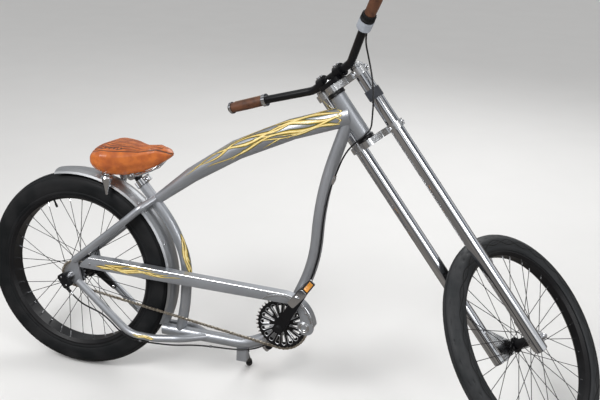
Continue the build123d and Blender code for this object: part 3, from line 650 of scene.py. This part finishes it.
hookArc, under, rim = (arcPoints(ringCentre, guard["hook"] - inward, guard["end"], 90, 40)
                       for inward in (0, guard["wall"], 1.2))
lobeCentre = arcPoints(ringCentre, guard["hook"] - guard["lobe"], guard["end"], 90, 1)[0]
face = guard["foot"] + arcPoints(holeCentre, guard["hole"], 90, -3, 30)
face += arcPoints(lobeCentre, guard["lobe"], 138, 360, 32) + hookArc + guard["back"]
flange = hookArc + guard["back"] + guard["backUnder"] + under[::-1]
bead = arcPoints(ringCentre, guard["beadOutside"], 15, 127, 60)
bead += arcPoints(ringCentre, guard["beadInside"], 127, 15, 60)
guardShape, guardTrim = bmesh.new(), bmesh.new()
addPlate(guardShape, face, guard["wall"], upright(guard["face"] + guard["wall"]), 0.5)
addPlate(guardShape, flange, -guard["depth"], upright(guard["face"] + 0.4))
finishPiece("chainGuard", guardShape, "frame", framePaint, ("chain_guard",), 35)
addPlate(guardTrim, bead, guard["proud"], upright(guard["face"]), 0.4)
addTube(guardTrim, [(x, guard["face"] - 0.2, z) for x, z in rim + guard["backRim"]], guard["rim"], 10)
addTurned(guardTrim, facing((bossCentre.x, guard["face"], bossCentre.y), (0, -1, 0)), guard["boss"], 40)
finishPiece("guardTrim", guardTrim, "frame", polished, (), 35)
print("guard made")

# Saddle: a wide crowned top over a bulging skirt, with tooled lines pressed into the leather
# Columns of the plan: x, half width. Columns of the heights: x, underside, edge, crown
seat = {"low": 63.0, "high": 319.0, "rings": 150, "spokes": 208, "back": 48, "span": 272, "tooling": 1.7,
        "plan": ((62, 0), (64, 36), (70, 64), (79, 85), (90, 98), (108, 109), (128, 113), (150, 108), (175, 92),
                 (200, 72), (225, 54), (250, 42), (275, 34), (300, 27.5), (310, 22), (316, 15), (319, 7), (320, 0)),
        "heights": ((62, 704, 722, 738), (88, 681, 736, 764), (125, 672, 742, 779), (175, 674, 740, 778),
                    (225, 687, 744, 770), (275, 714, 756, 777), (306, 736, 754, 768), (320, 748, 752, 757))}


def between(table, x, column):
    for low, high in zip(table, table[1:]):
        if x <= high[0]:
            share = max(0.0, (x - low[0]) / (high[0] - low[0]))
            return low[column] + (high[column] - low[column]) * share
    return table[-1][column]


def groove(distance, width):
    return exp(-(distance / width) ** 2)


def tooled(x, y, width):
    along, out = (x - seat["back"]) / seat["span"], abs(y) / max(width, 1)
    marks = [groove((out - 0.86) * width, 1.6), 0.6 * groove((out - 0.78) * width, 1.0)]
    for line, phase in ((0.20, 0.0), (0.42, 1.7), (0.62, 3.1)):
        sway = line + 0.07 * sin(along * 15 + phase)
        marks.append(0.9 * groove((out - sway) * width, 1.3) * (0.14 < along < 0.9))
    if along < 0.5 and 0.66 < out < 0.76:
        marks.append(0.8 * (sin(atan2(y, 165 - x) * 46) > 0.2))
    marks.append(groove(hypot((x - 284) / 17, y / 7) * 9 - 9, 1.2))
    if 0.08 < along < 0.45 and out < 0.16:
        marks.append(0.7 * (sin(x * 0.42) * cos(y * 0.5) > 0.35))
    if 0.10 < along < 0.62 and 0.1 < out < 0.8:
        flow = out * 7.5 + 0.9 * sin(along * 13)
        marks.append(0.95 * groove(flow % 1 - 0.5, 0.17))
    return max(marks)


shape = bmesh.new()
mark = shape.verts.layers.float.new("tooling")
bmesh.ops.create_uvsphere(shape, u_segments=seat["spokes"], v_segments=seat["rings"], radius=1)
spots = {}
for vert in shape.verts:
    ring = sqrt(max(0.0, 1 - vert.co.z ** 2))
    x = (seat["low"] + seat["high"]) / 2 + (seat["high"] - seat["low"]) / 2 * vert.co.z
    side, rise = (vert.co.x / ring, vert.co.y / ring) if ring > 0.001 else (0.0, 0.0)
    width = between(seat["plan"], x, 1)
    under, edge, crown = (between(seat["heights"], x, column) for column in (1, 2, 3))
    if rise >= 0:
        y, z = copysign(abs(side) ** 0.8, side) * width, edge + (crown - edge) * rise ** 1.15
    else:
        tuck = 1 - 0.22 * max(0.0, -rise - 0.35)
        y, z = copysign(abs(side) ** 0.62, side) * width * tuck, edge - (edge - under) * (-rise) ** 0.8
    vert.co = Vector((x, y, z))
    spots[vert] = (x, y, width, rise)
bmesh.ops.smooth_vert(shape, verts=shape.verts, factor=0.5, use_axis_x=False, use_axis_y=True, use_axis_z=True)
bmesh.ops.recalc_face_normals(shape, faces=shape.faces)
shape.normal_update()
moves = {}
for vert, (x, y, width, rise) in spots.items():
    depth = tooled(x, y, width) * min(1.0, max(0.0, rise * 4)) if rise > 0 else 0.0
    vert[mark] = depth
    moves[vert] = vert.normal * (-seat["tooling"] * depth - 0.3)
for vert, move in moves.items():
    vert.co += move
leather = Finish("tooledLeather", Coat_Weight=0.35, Coat_Roughness=0.18)
pressed = leather.add("ShaderNodeAttribute", {"attribute_name": "tooling"}, output=2)
clouds, grain = leather.noise(38, 4.0), leather.cells(1500)
tan = leather.blend(clouds.ramp(0.3, 0.7), (0.56, 0.145, 0.018), (0.37, 0.08, 0.011))
leather.mixedColours(clouds, pressed.ramp(0.15, 0.8), tan, (0.06, 0.016, 0.005), 0.34, 0.2)
leather.bump(grain, 0.00008)
cushion = finishPiece("tooledSaddle", shape, "frame", leather, ("saddle",), 60)

# Under the saddle: coil springs round their cores, and the clamp's hex nuts
springs, nuts = bmesh.new(), bmesh.new()
coil = {"spot": (122, 55), "turns": 4.5, "radius": 15.5, "wire": 2.4, "low": 668.0, "high": 697.0, "steps": 14,
        "foot": 612, "footCap": ((0, -2), (4, -1), (5.5, 3), (5.5, 6), (0, 6)),
        "plates": (666, 699), "plate": ((10, -1.6), (19.5, -1.6), (20.4, 0), (19.5, 1.6), (10, 1.6))}
clampNut = {"spot": (191.7, 34, 676),
            "profile": ((0, 9), (4, 8.6), (6.2, 7), (6.2, 1.6), (10.5, 1.4), (10.8, 0), (0, 0))}
for hand in (-1, 1):
    x, y = coil["spot"][0], hand * coil["spot"][1]
    count = int(coil["turns"] * coil["steps"])
    path = []
    for step in range(count + 1):
        turn = 2 * pi * step / coil["steps"]
        height = coil["low"] + (coil["high"] - coil["low"]) * step / count
        path.append((x + coil["radius"] * cos(turn), y + hand * coil["radius"] * sin(turn), height))
    addTube(springs, path, coil["wire"], 8)
    addTurned(springs, shift(x, y, coil["foot"]), coil["footCap"], 20)
    for height in coil["plates"]:
        addTurned(springs, shift(x, y, height), coil["plate"], 28)
    x, out, height = clampNut["spot"]
    addTurned(nuts, sideways((x, hand * out, height), hand), clampNut["profile"], 6)
finishPiece("saddleSprings", springs, "frame", chrome)
finishPiece("saddleClampNuts", nuts, "frame", steel, (), 25)

# Seat collar: two round bolt heads side by side on the ears
seatCollar = {"top": Vector((222, 0, 641)), "post": Vector((-96, 0, 106)).normalized(), "heights": (6, 16),
              "ear": 26, "half": 11,
              "bolt": ((0, 1.6), (2.4, 1.6), (2.6, 5), (4.2, 5.4), (4.8, 4.6), (4.8, 0), (0, 0))}
collarBolts = bmesh.new()
for height in seatCollar["heights"]:
    out = seatCollar["post"].cross(Vector((0, -1, 0))) * seatCollar["ear"]
    spot = seatCollar["top"] + seatCollar["post"] * height + out
    spot.y -= seatCollar["half"]
    addTurned(collarBolts, sideways(spot, -1), seatCollar["bolt"], 16)
finishPiece("collarBolts", collarBolts, "frame", chrome, (), 30)
print("saddle made")

# Grips: laced leather sleeves, with a seam of crossed stitches along the side that shows
grip = {"start": 16.0, "length": 111.6, "radius": 16.4, "bore": 12.1, "waves": 24, "shifter": 22,
        "corner": (-14, 222, 252), "slope": (-28, 130, 48), "seam": {-1: 0.1, 1: 0.62}, "stitch": 8.4, "stitchGap": 7,
        "end": 135.5, "cap": ((0, 5.0), (8, 4.6), (13, 3.2), (15.5, 0.8), (15.5, -0.6), (12.1, -0.6))}
twist = {"ribs": 18, "rib": (2.4, 2.6, 9), "ribSpot": (19, 0, 29.5),
         "profile": ((12.1, 16), (19.6, 16), (20.4, 17), (20.4, 22), (18.6, 25), (18.6, 34), (17.6, 37.4),
                     (12.1, 37.6))}
gripLeather = Finish("gripLeather", Roughness=0.5)
gripLeather.mottle((0.13, 0.048, 0.02), (0.07, 0.026, 0.012), 60)
gripLeather.bump(gripLeather.cells(900), 0.00015)
thread = enamel("waxedThread", (0.30, 0.20, 0.11), (0.20, 0.13, 0.07), 0.55, 0.0)
grips, stitches, ends, collar = bmesh.new(), bmesh.new(), bmesh.new(), bmesh.new()
for hand in (-1, 1):
    corner, slope = ((x, hand * y, z) for x, y, z in (grip["corner"], grip["slope"]))
    place = facing(corner, slope)
    taken = grip["shifter"] if hand < 0 else 0  # the shifter sits inside the right grip
    low, length, radius, bore = grip["start"] + taken, grip["length"] - taken, grip["radius"], grip["bore"]
    profile = [(bore, low), (radius - 1, low + 0.4)]
    for step in range(1, grip["waves"]):
        share = step / grip["waves"]
        profile.append((radius - 0.9 * (1 - sin(share * pi)) - 0.35 * (step % 2), low + length * share))
    profile += [(radius - 1, low + length - 0.4), (bore, low + length)]
    addTurned(grips, place, profile, 40)
    seam = place @ spin(pi * grip["seam"][hand], "Z")
    for step in range(int(length / grip["stitchGap"]) - 1):
        spot = seam @ shift(radius + 0.1, 0, low + 8 + grip["stitchGap"] * step)
        for lean in (-1, 1):
            crossed = spot @ spin(lean * 0.75, "X") @ shift(0, 0, -grip["stitch"] / 2)
            addRound(stitches, crossed, 0.9, grip["stitch"], 6)
    addTurned(ends, place @ shift(0, 0, grip["end"]), grip["cap"], 32)
    if hand < 0:
        addTurned(collar, place, twist["profile"], 40)
        for step in range(twist["ribs"]):
            ribs = place @ spin(2 * pi * step / twist["ribs"], "Z") @ shift(*twist["ribSpot"])
            bmesh.ops.create_cube(collar, size=1, matrix=ribs @ Matrix.Diagonal((*twist["rib"], 1)))
finishPiece("lacedGrips", grips, "steering", gripLeather, ("right_grip", "left_grip"), 60)
finishPiece("gripStitches", stitches, "steering", thread)
finishPiece("gripEndCaps", ends, "steering", chrome)
finishPiece("twistCollar", collar, "steering", rubber, (), 30)

# Bolts: socket-head caps. Columns: place and direction in the fork's frame
socketHead = ((0, 1.2), (2.4, 1.2), (2.7, 4.6), (4.2, 5.2), (5.0, 4.4), (5.0, 0), (0, 0))
forkBolts = bmesh.new()
forkBoltTable = [((22, side, 212.5), (0, 0, 1)) for side in (30, 44, -30, -44)]
forkBoltTable += [((-7, side, 179.5), (-1, 0, 0)) for side in (24, -24)]
for level in (162.6, -22.6):
    for side, front in ((-1, -76), (1, 24)):
        forkBoltTable += [((21, front, level), (-1, 0, 0)), ((50, side * 102.6, level), (0, side, 0))]
for spot, direction in forkBoltTable:
    addTurned(forkBolts, facing(spot, direction), socketHead, 16)
finishPiece("forkBolts", forkBolts, "steering", chrome, (), 30)

# Turned caps on the legs, rings round the head cups, and the steerer's top cap
turned, cups = bmesh.new(), bmesh.new()
legCap = ((19.6, 0), (20.2, 0.8), (20.2, 4), (18.6, 5), (18.6, 6.5), (13, 8.5), (12.4, 10.5), (7, 12), (0, 12.3))
topCap = ((0, 6.5), (5, 6.2), (6, 3), (12, 2.6), (14, 1.2), (14, 0))
cupRing = ((24, 0), (26.6, 0.4), (27.2, 2), (26.4, 3.4), (26.4, 7.6), (27.2, 9), (26.6, 10.6), (24, 11))
for side in (-76, 76):
    addTurned(turned, shift(48, side, 177.2), legCap, 40)
for low in (-11.5, 140.6):
    addTurned(cups, shift(0, 0, low), cupRing, 40)
addTurned(turned, shift(0, 0, 186), topCap, 32)
finishPiece("legCaps", turned, "steering", polished, (), 30)
finishPiece("cupRings", cups, "frame", blackSatin, (), 30, place=bikeFrame @ headFrame)

# Crowns: thin bright panels on top of both
panels = bmesh.new()
for level in (172.7, -12.5):
    for side in (-1, 1):
        outline = [(40, side * 16), (56, side * 20), (58, side * 44), (40, side * 44)][::side]
        addPlate(panels, outline, 0.5, shift(0, 0, level), 0.2)
finishPiece("crownPanels", panels, "steering", chrome, (), 30)

# Washers and domed nuts on the front axle's ends
washers, frontAxle = bmesh.new(), (107, -781.35)
for side in (-1, 1):
    for out, profile, steps in ((59.2, ((5, 0), (13, 0), (13.4, 0.9), (13, 1.8), (5, 1.8)), 28),
                                (69, ((4.6, -0.2), (7.4, -0.2), (7.8, 1.4), (6.4, 5), (4.6, 6.6)), 24)):
        addTurned(washers, sideways((frontAxle[0], side * out, frontAxle[1]), side), profile, steps)
finishPiece("frontWashers", washers, "steering", chrome, (), 30)
print("bars and fork made")

# Flames: strands that weave, fork and taper, each laid on three times: an olive outline, partly painted shadow, under
# gold, under a narrow cream stripe of painted highlight
# Columns of the tube: x, height, diameter, slope
# Columns of the layers: colour, finish, breadth, height over the paint
topTube = ((872, 931, 60, 17), (700, 872, 62, 22), (530, 791, 60, 31), (385, 695, 48, 38), (258, 593, 31, 44))
layers = (("oliveOutlineShade", oliveOutlineShade, 1.1, 0.30), ("gold", gold, 0.60, 0.42), ("creamHighlight", creamHighlight, 0.26, 0.54))


def onTopTube(along, turn, proud, hand):
    index = min(max(int(along), 0), 3)
    ends = []
    for x, z, diameter, slope in topTube[index:index + 2]:
        slope, angle = radians(slope), radians(turn)
        out = Vector((0, -hand * cos(angle), 0)) + Vector((sin(slope), 0, -cos(slope))) * sin(angle)
        ends.append(Vector((x, 0, z)) + out * (diameter / 2 + proud))
    return ends[0].lerp(ends[1], along - index)


def onGuard(along, height, proud, hand):
    return Vector((along, guard["face"] - proud, height))


def onNode(node, start, end, side):
    target, across = nodes[node], side.cross(end - start).normalized()

    def spot(along, out, proud, hand):
        guess = bikeFrame @ ((start.lerp(end, along) + side * 14 + across * out) / 1000)
        place, normal = target.closest_point_on_mesh(target.matrix_world.inverted() @ guess)[1:3]
        return bikeFrame.inverted() @ (target.matrix_world @ place + normal * proud / 1000) * 1000

    return spot


def strandMiddle(share, low, high, sway, waves, phase):
    return low + (high - low) * share ** 1.3 + sway * sin(waves * 2 * pi * share + phase)


def strand(shape, spot, hand, table, scale, lift, steps):
    first, last, low, high, sway, waves, phase, width = table
    made = bmesh.ops.create_grid(shape, x_segments=steps, y_segments=4, size=1)
    for vert in made["verts"]:
        share, out = (vert.co.x + 1) / 2, vert.co.y
        centre = strandMiddle(share, low, high, sway, waves, phase)
        breadth = 1.7 * width * scale * min(1.0, 0.35 + share * 6) * max(0.0, 1 - share) ** 0.6
        breadth *= 1 + 0.28 * sin(share * 19 + phase)
        vert.co = spot(first + (last - first) * share, centre + out * breadth, lift, hand)


def bow(shape, spot, hand, table, scale, lift):
    at, depth, low, high, width = table
    made = bmesh.ops.create_grid(shape, x_segments=20, y_segments=4, size=1)
    for vert in made["verts"]:
        share, out = (vert.co.x + 1) / 2, vert.co.y
        curve = sin(pi * share)
        along = at - depth * curve + out * width * scale * (0.5 + 0.5 * curve)
        vert.co = spot(along, low + (high - low) * share, lift, hand)


def licks(table, reach, swing):
    first, last, low, high, sway, waves, phase, width = table
    found = [table]
    for number, share in enumerate((0.2, 0.42, 0.66)):
        hand = 1 if (number + int(phase * 2)) % 2 else -1
        root = strandMiddle(share, low, high, sway, waves, phase)
        start = first + (last - first) * share
        end = start + reach * (1 - 0.4 * share)
        found.append((start, end, root, root + hand * swing, 0.0, 0.0, phase + number, width * 0.62))
    return found


# Columns: start and end along the piece, start and end across it, sway, waves, phase, half width
tubeStrands = ((0.17, 1.7, 150, 172, 13, 1.4, 0.0, 6.0), (0.16, 2.6, 182, 160, 15, 1.9, 2.0, 8.0),
               (0.15, 3.1, 206, 214, 16, 2.2, 3.6, 8.4), (0.15, 2.9, 228, 204, 14, 2.4, 5.2, 8.0),
               (0.16, 2.3, 250, 244, 10, 1.8, 1.0, 7.0))
# Columns: place along the tube, reach towards the head, start and end round it, half width along it
tubeBows = ((0.19, 0.07, 262, 232, 0.024), (0.18, 0.07, 234, 206, 0.024), (0.18, 0.06, 208, 184, 0.022),
            (0.20, 0.06, 186, 158, 0.022))
guardStrands = ((112, 330, 372, 383, 3.0, 1.6, 0.0, 3.0), (126, 392, 381, 377, 3.6, 2.0, 1.8, 3.2),
                (140, 300, 388, 392, 2.2, 1.3, 3.6, 2.6), (96, 210, 378, 369, 2.0, 1.0, 5.0, 2.4))
stayStrands = ((0.0, 0.92, 0, 3, 2.4, 1.5, 0.0, 3.2), (0.1, 1.0, -4, -2, 2.0, 1.2, 2.2, 2.6))
seatTubeStrip = onNode("seat_tube", Vector((340, 0, 500)), Vector((384, 0, 330)), Vector((0.94, -0.34, 0)))
chainstayPatch = onNode("right_chainstay", Vector((300, -67, 160)), Vector((225, -67, 160)), Vector((0, -1, 0.2)))
# Columns: area, surface, side, strands, reach and swing of their licks, steps of strands and of licks
plan = [("topTube", onTopTube, hand, tubeStrands, 0.5, 24, 70, 24) for hand in (1, -1)]
plan += [("guard", onGuard, 1, guardStrands, 62, 8, 40, 16),
         ("seatTube", seatTubeStrip, 1, stayStrands, 0.2, 5, 60, 16),
         ("chainstay", chainstayPatch, 1, stayStrands, 0.35, 5, 30, 12)]
for colour, finish, scale, lift in layers:
    flames = bmesh.new()
    for area, spot, hand, strands, reach, swing, long, short in plan:
        for table in strands:
            for number, part in enumerate(licks(table, reach, swing) if table[4] else [table]):
                strand(flames, spot, hand, part, scale, lift, short if number else long)
        for table in tubeBows if area == "topTube" else ():
            bow(flames, spot, hand, table, scale, lift)
    finishPiece(colour + "Flames", flames, "frame", finish, (), 80)
print("flames made")


# Rivets and bolt heads on the guard, the fender and the stays
def domed(radius, height):
    return ((0, height), (radius * 0.5, height * 0.9), (radius * 0.85, height * 0.55), (radius, 0.1), (radius, -0.6),
            (0, -0.6))


fender = {"radius": 339, "out": 28, "splay": 0.3, "turns": (8, 24, 44, 50, 66, 78)}
rivets = bmesh.new()
for x, z in ((72, 379), (676, 379), (797, 334)):
    addTurned(rivets, facing((x, guard["face"], z), (0, -1, 0)), domed(4.2, 2.2), 16)
for side in (-1, 1):
    for turn in fender["turns"]:
        spot, out = axleSpot + ray(radians(turn), fender["radius"]), ray(radians(turn))
        spot.y, out.y = side * fender["out"], side * fender["splay"]
        addTurned(rivets, facing(spot, out), domed(3.6, 1.8), 14)
    for x, z in ((9, 386), (30, 300)):
        addTurned(rivets, facing((x, side * 70.2, z), (0, side, 0)), domed(3.6, 1.8), 14)
for out, side, steps in ((54.2, 1, 20), (50.8, -1, 6)):
    addTurned(rivets, facing((88, out, 262), (0, side, 0)), domed(7, 4.5), steps)
finishPiece("rivets", rivets, "frame", chrome, (), 30)

# Washers on the rear axle's ends, and the click box's cover with its two screws
fittings, cover, screws = bmesh.new(), bmesh.new(), bmesh.new()
for side in (-1, 1):
    addTurned(fittings, sideways((0, side * 70.2, bike["rearRadius"]), side),
              ((5.2, 0), (14.5, 0), (15, 0.8), (14.5, 1.8), (5.2, 1.8)), 28)
finishPiece("rearWashers", fittings, "frame", steel, (), 30)
lid = shift(-6, -104, 318) @ spin(-radians(35), "Y") @ spin(pi / 2, "X")
addPlate(cover, roundedOutline(11, 22, 6), 1.2, lid, 0.4)
for height in (-15, 15):
    addTurned(screws, lid @ shift(0, height, 1.1), domed(3.2, 1.4), 16)
finishPiece("clickBoxCover", cover, "frame", blackGloss, (), 30)
finishPiece("clickBoxScrews", screws, "frame", chrome, (), 30)

# Gear cable: one smooth line through the route's points, from the shifter's housing to the click box
# The upper route is in the fork's frame, the lower one in the bicycle's
upperRoute = ((16.1, -191.8, 235.9), (33, -160, 221), (44, -136, 190), (42, -118, 150), (28, -104, 108), (8, -88, 68),
              (2, -60, 34))
lowerRoute = ((937.7, -17.2, 899.5), (920, -31.5, 879), (899, -31, 860), (879, -31, 837), (862, -28, 806),
              (850, -23, 772), (838.5, -18, 738), (828, -17, 702), (820, -17, 655), (815.2, -17, 600),
              (813.5, -17, 545), (809, -17, 498), (797.5, -17, 446), (780.5, -17, 393), (761, -17, 342),
              (749, -16, 302), (744, -16, 268), (727, -16, 246), (690, -16, 215), (660, -16, 184), (624, -16, 163),
              (580, -16, 150), (530, -18, 146), (475, -24, 146), (420, -36, 146), (360, -52, 140), (300, -62, 140),
              (250, -71, 143), (215, -76, 148), (180, -80, 170), (150, -82, 199), (116, -83, 222), (78, -85, 234),
              (39.1, -88.4, 250.1), (11.8, -91.8, 279.1))
route = [forkFrame @ (Vector(spot) / 1000) for spot in upperRoute]
route += [bikeFrame @ (Vector(spot) / 1000) for spot in lowerRoute]
line = bpy.data.curves.new("gearLine", "CURVE")
line.dimensions, line.resolution_u = "3D", 6
spline = line.splines.new("NURBS")
spline.points.add(len(route) - 1)
for point, spot in zip(spline.points, route):
    point.co = (*spot, 1)
spline.order_u, spline.use_endpoint_u = 3, True
holder = placeObject("gearLine", line)
smoothLine = bpy.data.meshes.new_from_object(holder)
bpy.data.objects.remove(holder)
sheath, cableRadius = bmesh.new(), 2.5
addTube(sheath, [vert.co * 1000 for vert in smoothLine.vertices], cableRadius, 10)
cableFinish = enamel("cableSheath", (0.006, 0.006, 0.007), (0.011, 0.011, 0.012), 0.3, 0.2)
gearCable = finishPiece("gearCable", sheath, None, cableFinish, place=Matrix())
tuple(route[2])
tuple(route[13])
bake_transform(gearCable)

# On the cable: a barrel adjuster below the head, clips down the frame and a ferrule at the click box
barrel, clips, ferrules = bmesh.new(), bmesh.new(), bmesh.new()
barrelProfile = ((2.6, -16), (4.4, -15.6), (4.4, -9), (6, -8), (6, 4), (4.8, 5), (4.8, 12), (2.6, 12.4))
ferruleProfile = ((5.2, 4), (6, 4.4), (6, 9), (4.6, 10), (4.2, 25), (3.6, 26.4), (3.4, 36), (2.6, 37))
addTurned(barrel, facing((838.5, -18, 738), (-11, 1, -36)), barrelProfile, 12)
for spot, way in (((820, -17, 655), (-5, 0, -50)), ((813.5, -17, 545), (-2, 0, -50)),
                  ((797.5, -17, 446), (-14, 0, -52)), ((660, -16, 184), (-33, 0, -27)),
                  ((475, -24, 146), (-55, -9, 0)), ((250, -71, 143), (-42, -7, 4))):
    addTurned(clips, facing(spot, way) @ shift(0, 0, -4), ((2.6, 0), (3.8, 0.3), (3.8, 7.7), (2.6, 8)), 16)
addTurned(ferrules, facing((-6, -94, 298), (16, 2, -17)), ferruleProfile, 20)
finishPiece("cableBarrel", barrel, "frame", chrome, (), 30)
finishPiece("cableClips", clips, "frame", darkSteel, (), 30)
finishPiece("cableFerrule", ferrules, "frame", chrome, (), 30)
print("details made")

# Floor, soft lights and pale surroundings
stage = {"floor": 60.0, "floorColour": (0.80, 0.795, 0.785), "floorShade": (0.76, 0.755, 0.745), "world": 0.58,
         "wall": (0.93, 0.93, 0.925), "dim": (0.035, 0.037, 0.042), "earth": (0.20, 0.185, 0.17),
         "horizon": (0.34, 0.36, 0.39), "above": (0.5, 0.5, 0.5)}
ground = bmesh.new()
bmesh.ops.create_grid(ground, x_segments=1, y_segments=1, size=stage["floor"])
floorMesh = bpy.data.meshes.new("floor")
ground.to_mesh(floorMesh)
ground.free()
floor = placeObject("floor", floorMesh)
floorFinish = Finish("paleFloor", Roughness=0.7)
clouds = floorFinish.noise(3.0, 4.0)
floorFinish.set("Base Color", floorFinish.blend(clouds, stage["floorColour"], stage["floorShade"]))
floorMesh.materials.append(floorFinish.material)
floor.visible_glossy = False

world = bpy.data.worlds.new("studio")
bpy.context.scene.world = world
world.use_nodes = True
sky = world.node_tree
sky.nodes.clear()


def skyNode(kind, inputs=()):
    node = sky.nodes.new(kind)
    for socket, value in dict(inputs).items():
        if isinstance(value, bpy.types.NodeSocket):
            sky.links.new(value, node.inputs[socket])
        else:
            node.inputs[socket].default_value = value
    return node


rays = skyNode("ShaderNodeLightPath")
where = skyNode("ShaderNodeTexCoord")
apart = skyNode("ShaderNodeSeparateXYZ", {0: where.outputs["Generated"]})
bands = skyNode("ShaderNodeValToRGB", {0: apart.outputs[2]})
for stop, tone in ((0.0, "earth"), (0.05, "dim"), (0.16, "dim"), (0.24, "wall"), (0.42, "horizon"), (0.58, "dim"),
                   (0.72, "wall")):
    mark = bands.color_ramp.elements.new(stop) if stop else bands.color_ramp.elements[0]
    mark.position, mark.color = stop, (*stage[tone], 1)
bands.color_ramp.elements[-1].color = (*stage["above"], 1)
seen = skyNode("ShaderNodeBackground", {0: (*stage["wall"], 1)})
mirrored = skyNode("ShaderNodeBackground", {0: bands.outputs[0]})
lit = skyNode("ShaderNodeBackground", {0: (1, 1, 1, 1), 1: stage["world"]})
first = skyNode("ShaderNodeMixShader", {0: rays.outputs["Is Glossy Ray"], 1: lit.outputs[0], 2: mirrored.outputs[0]})
second = skyNode("ShaderNodeMixShader", {0: rays.outputs["Is Camera Ray"], 1: first.outputs[0], 2: seen.outputs[0]})
skyNode("ShaderNodeOutputWorld", {0: second.outputs[0]})

# Columns: name, place, size, power
lamps = (("keyLamp", (-1.6, -2.6, 3.2), 1.5, 95), ("fillLamp", (2.8, -1.8, 2.2), 1.4, 36),
         ("backLamp", (0.4, 2.8, 2.8), 2.0, 45))
aim = Vector((0, 0, 0.5))
for name, spot, size, power in lamps:
    lamp = bpy.data.lights.new(name, "AREA")
    lamp.size, lamp.energy = size, power
    holder = placeObject(name, lamp)
    holder.location = spot
    holder.rotation_euler = (aim - Vector(spot)).to_track_quat("-Z", "Y").to_euler()

# Camera where the photograph was taken
view = {"place": (0.71956, -2.303763, 1.591233), "yaw": 0.285, "pitch": 0.379, "roll": 0.024, "lens": 50.645}
yaw, pitch, roll = view["yaw"], view["pitch"], view["roll"]
forward = Vector((-sin(yaw) * cos(pitch), cos(yaw) * cos(pitch), -sin(pitch)))
level = Vector((cos(yaw), sin(yaw), 0))
right = level * cos(roll) + level.cross(forward) * sin(roll)
upward = right.cross(forward)
cameraData = bpy.data.cameras.new("camera")
cameraData.lens, cameraData.sensor_width, cameraData.clip_start = view["lens"], 36, 0.05
camera = placeObject("camera", cameraData)
camera.matrix_world = Matrix.Translation(view["place"]) @ Matrix((right, upward, -forward)).transposed().to_4x4()
bpy.context.scene.camera = camera
bpy.context.scene.view_settings.view_transform = "Standard"
print("stage and camera made")
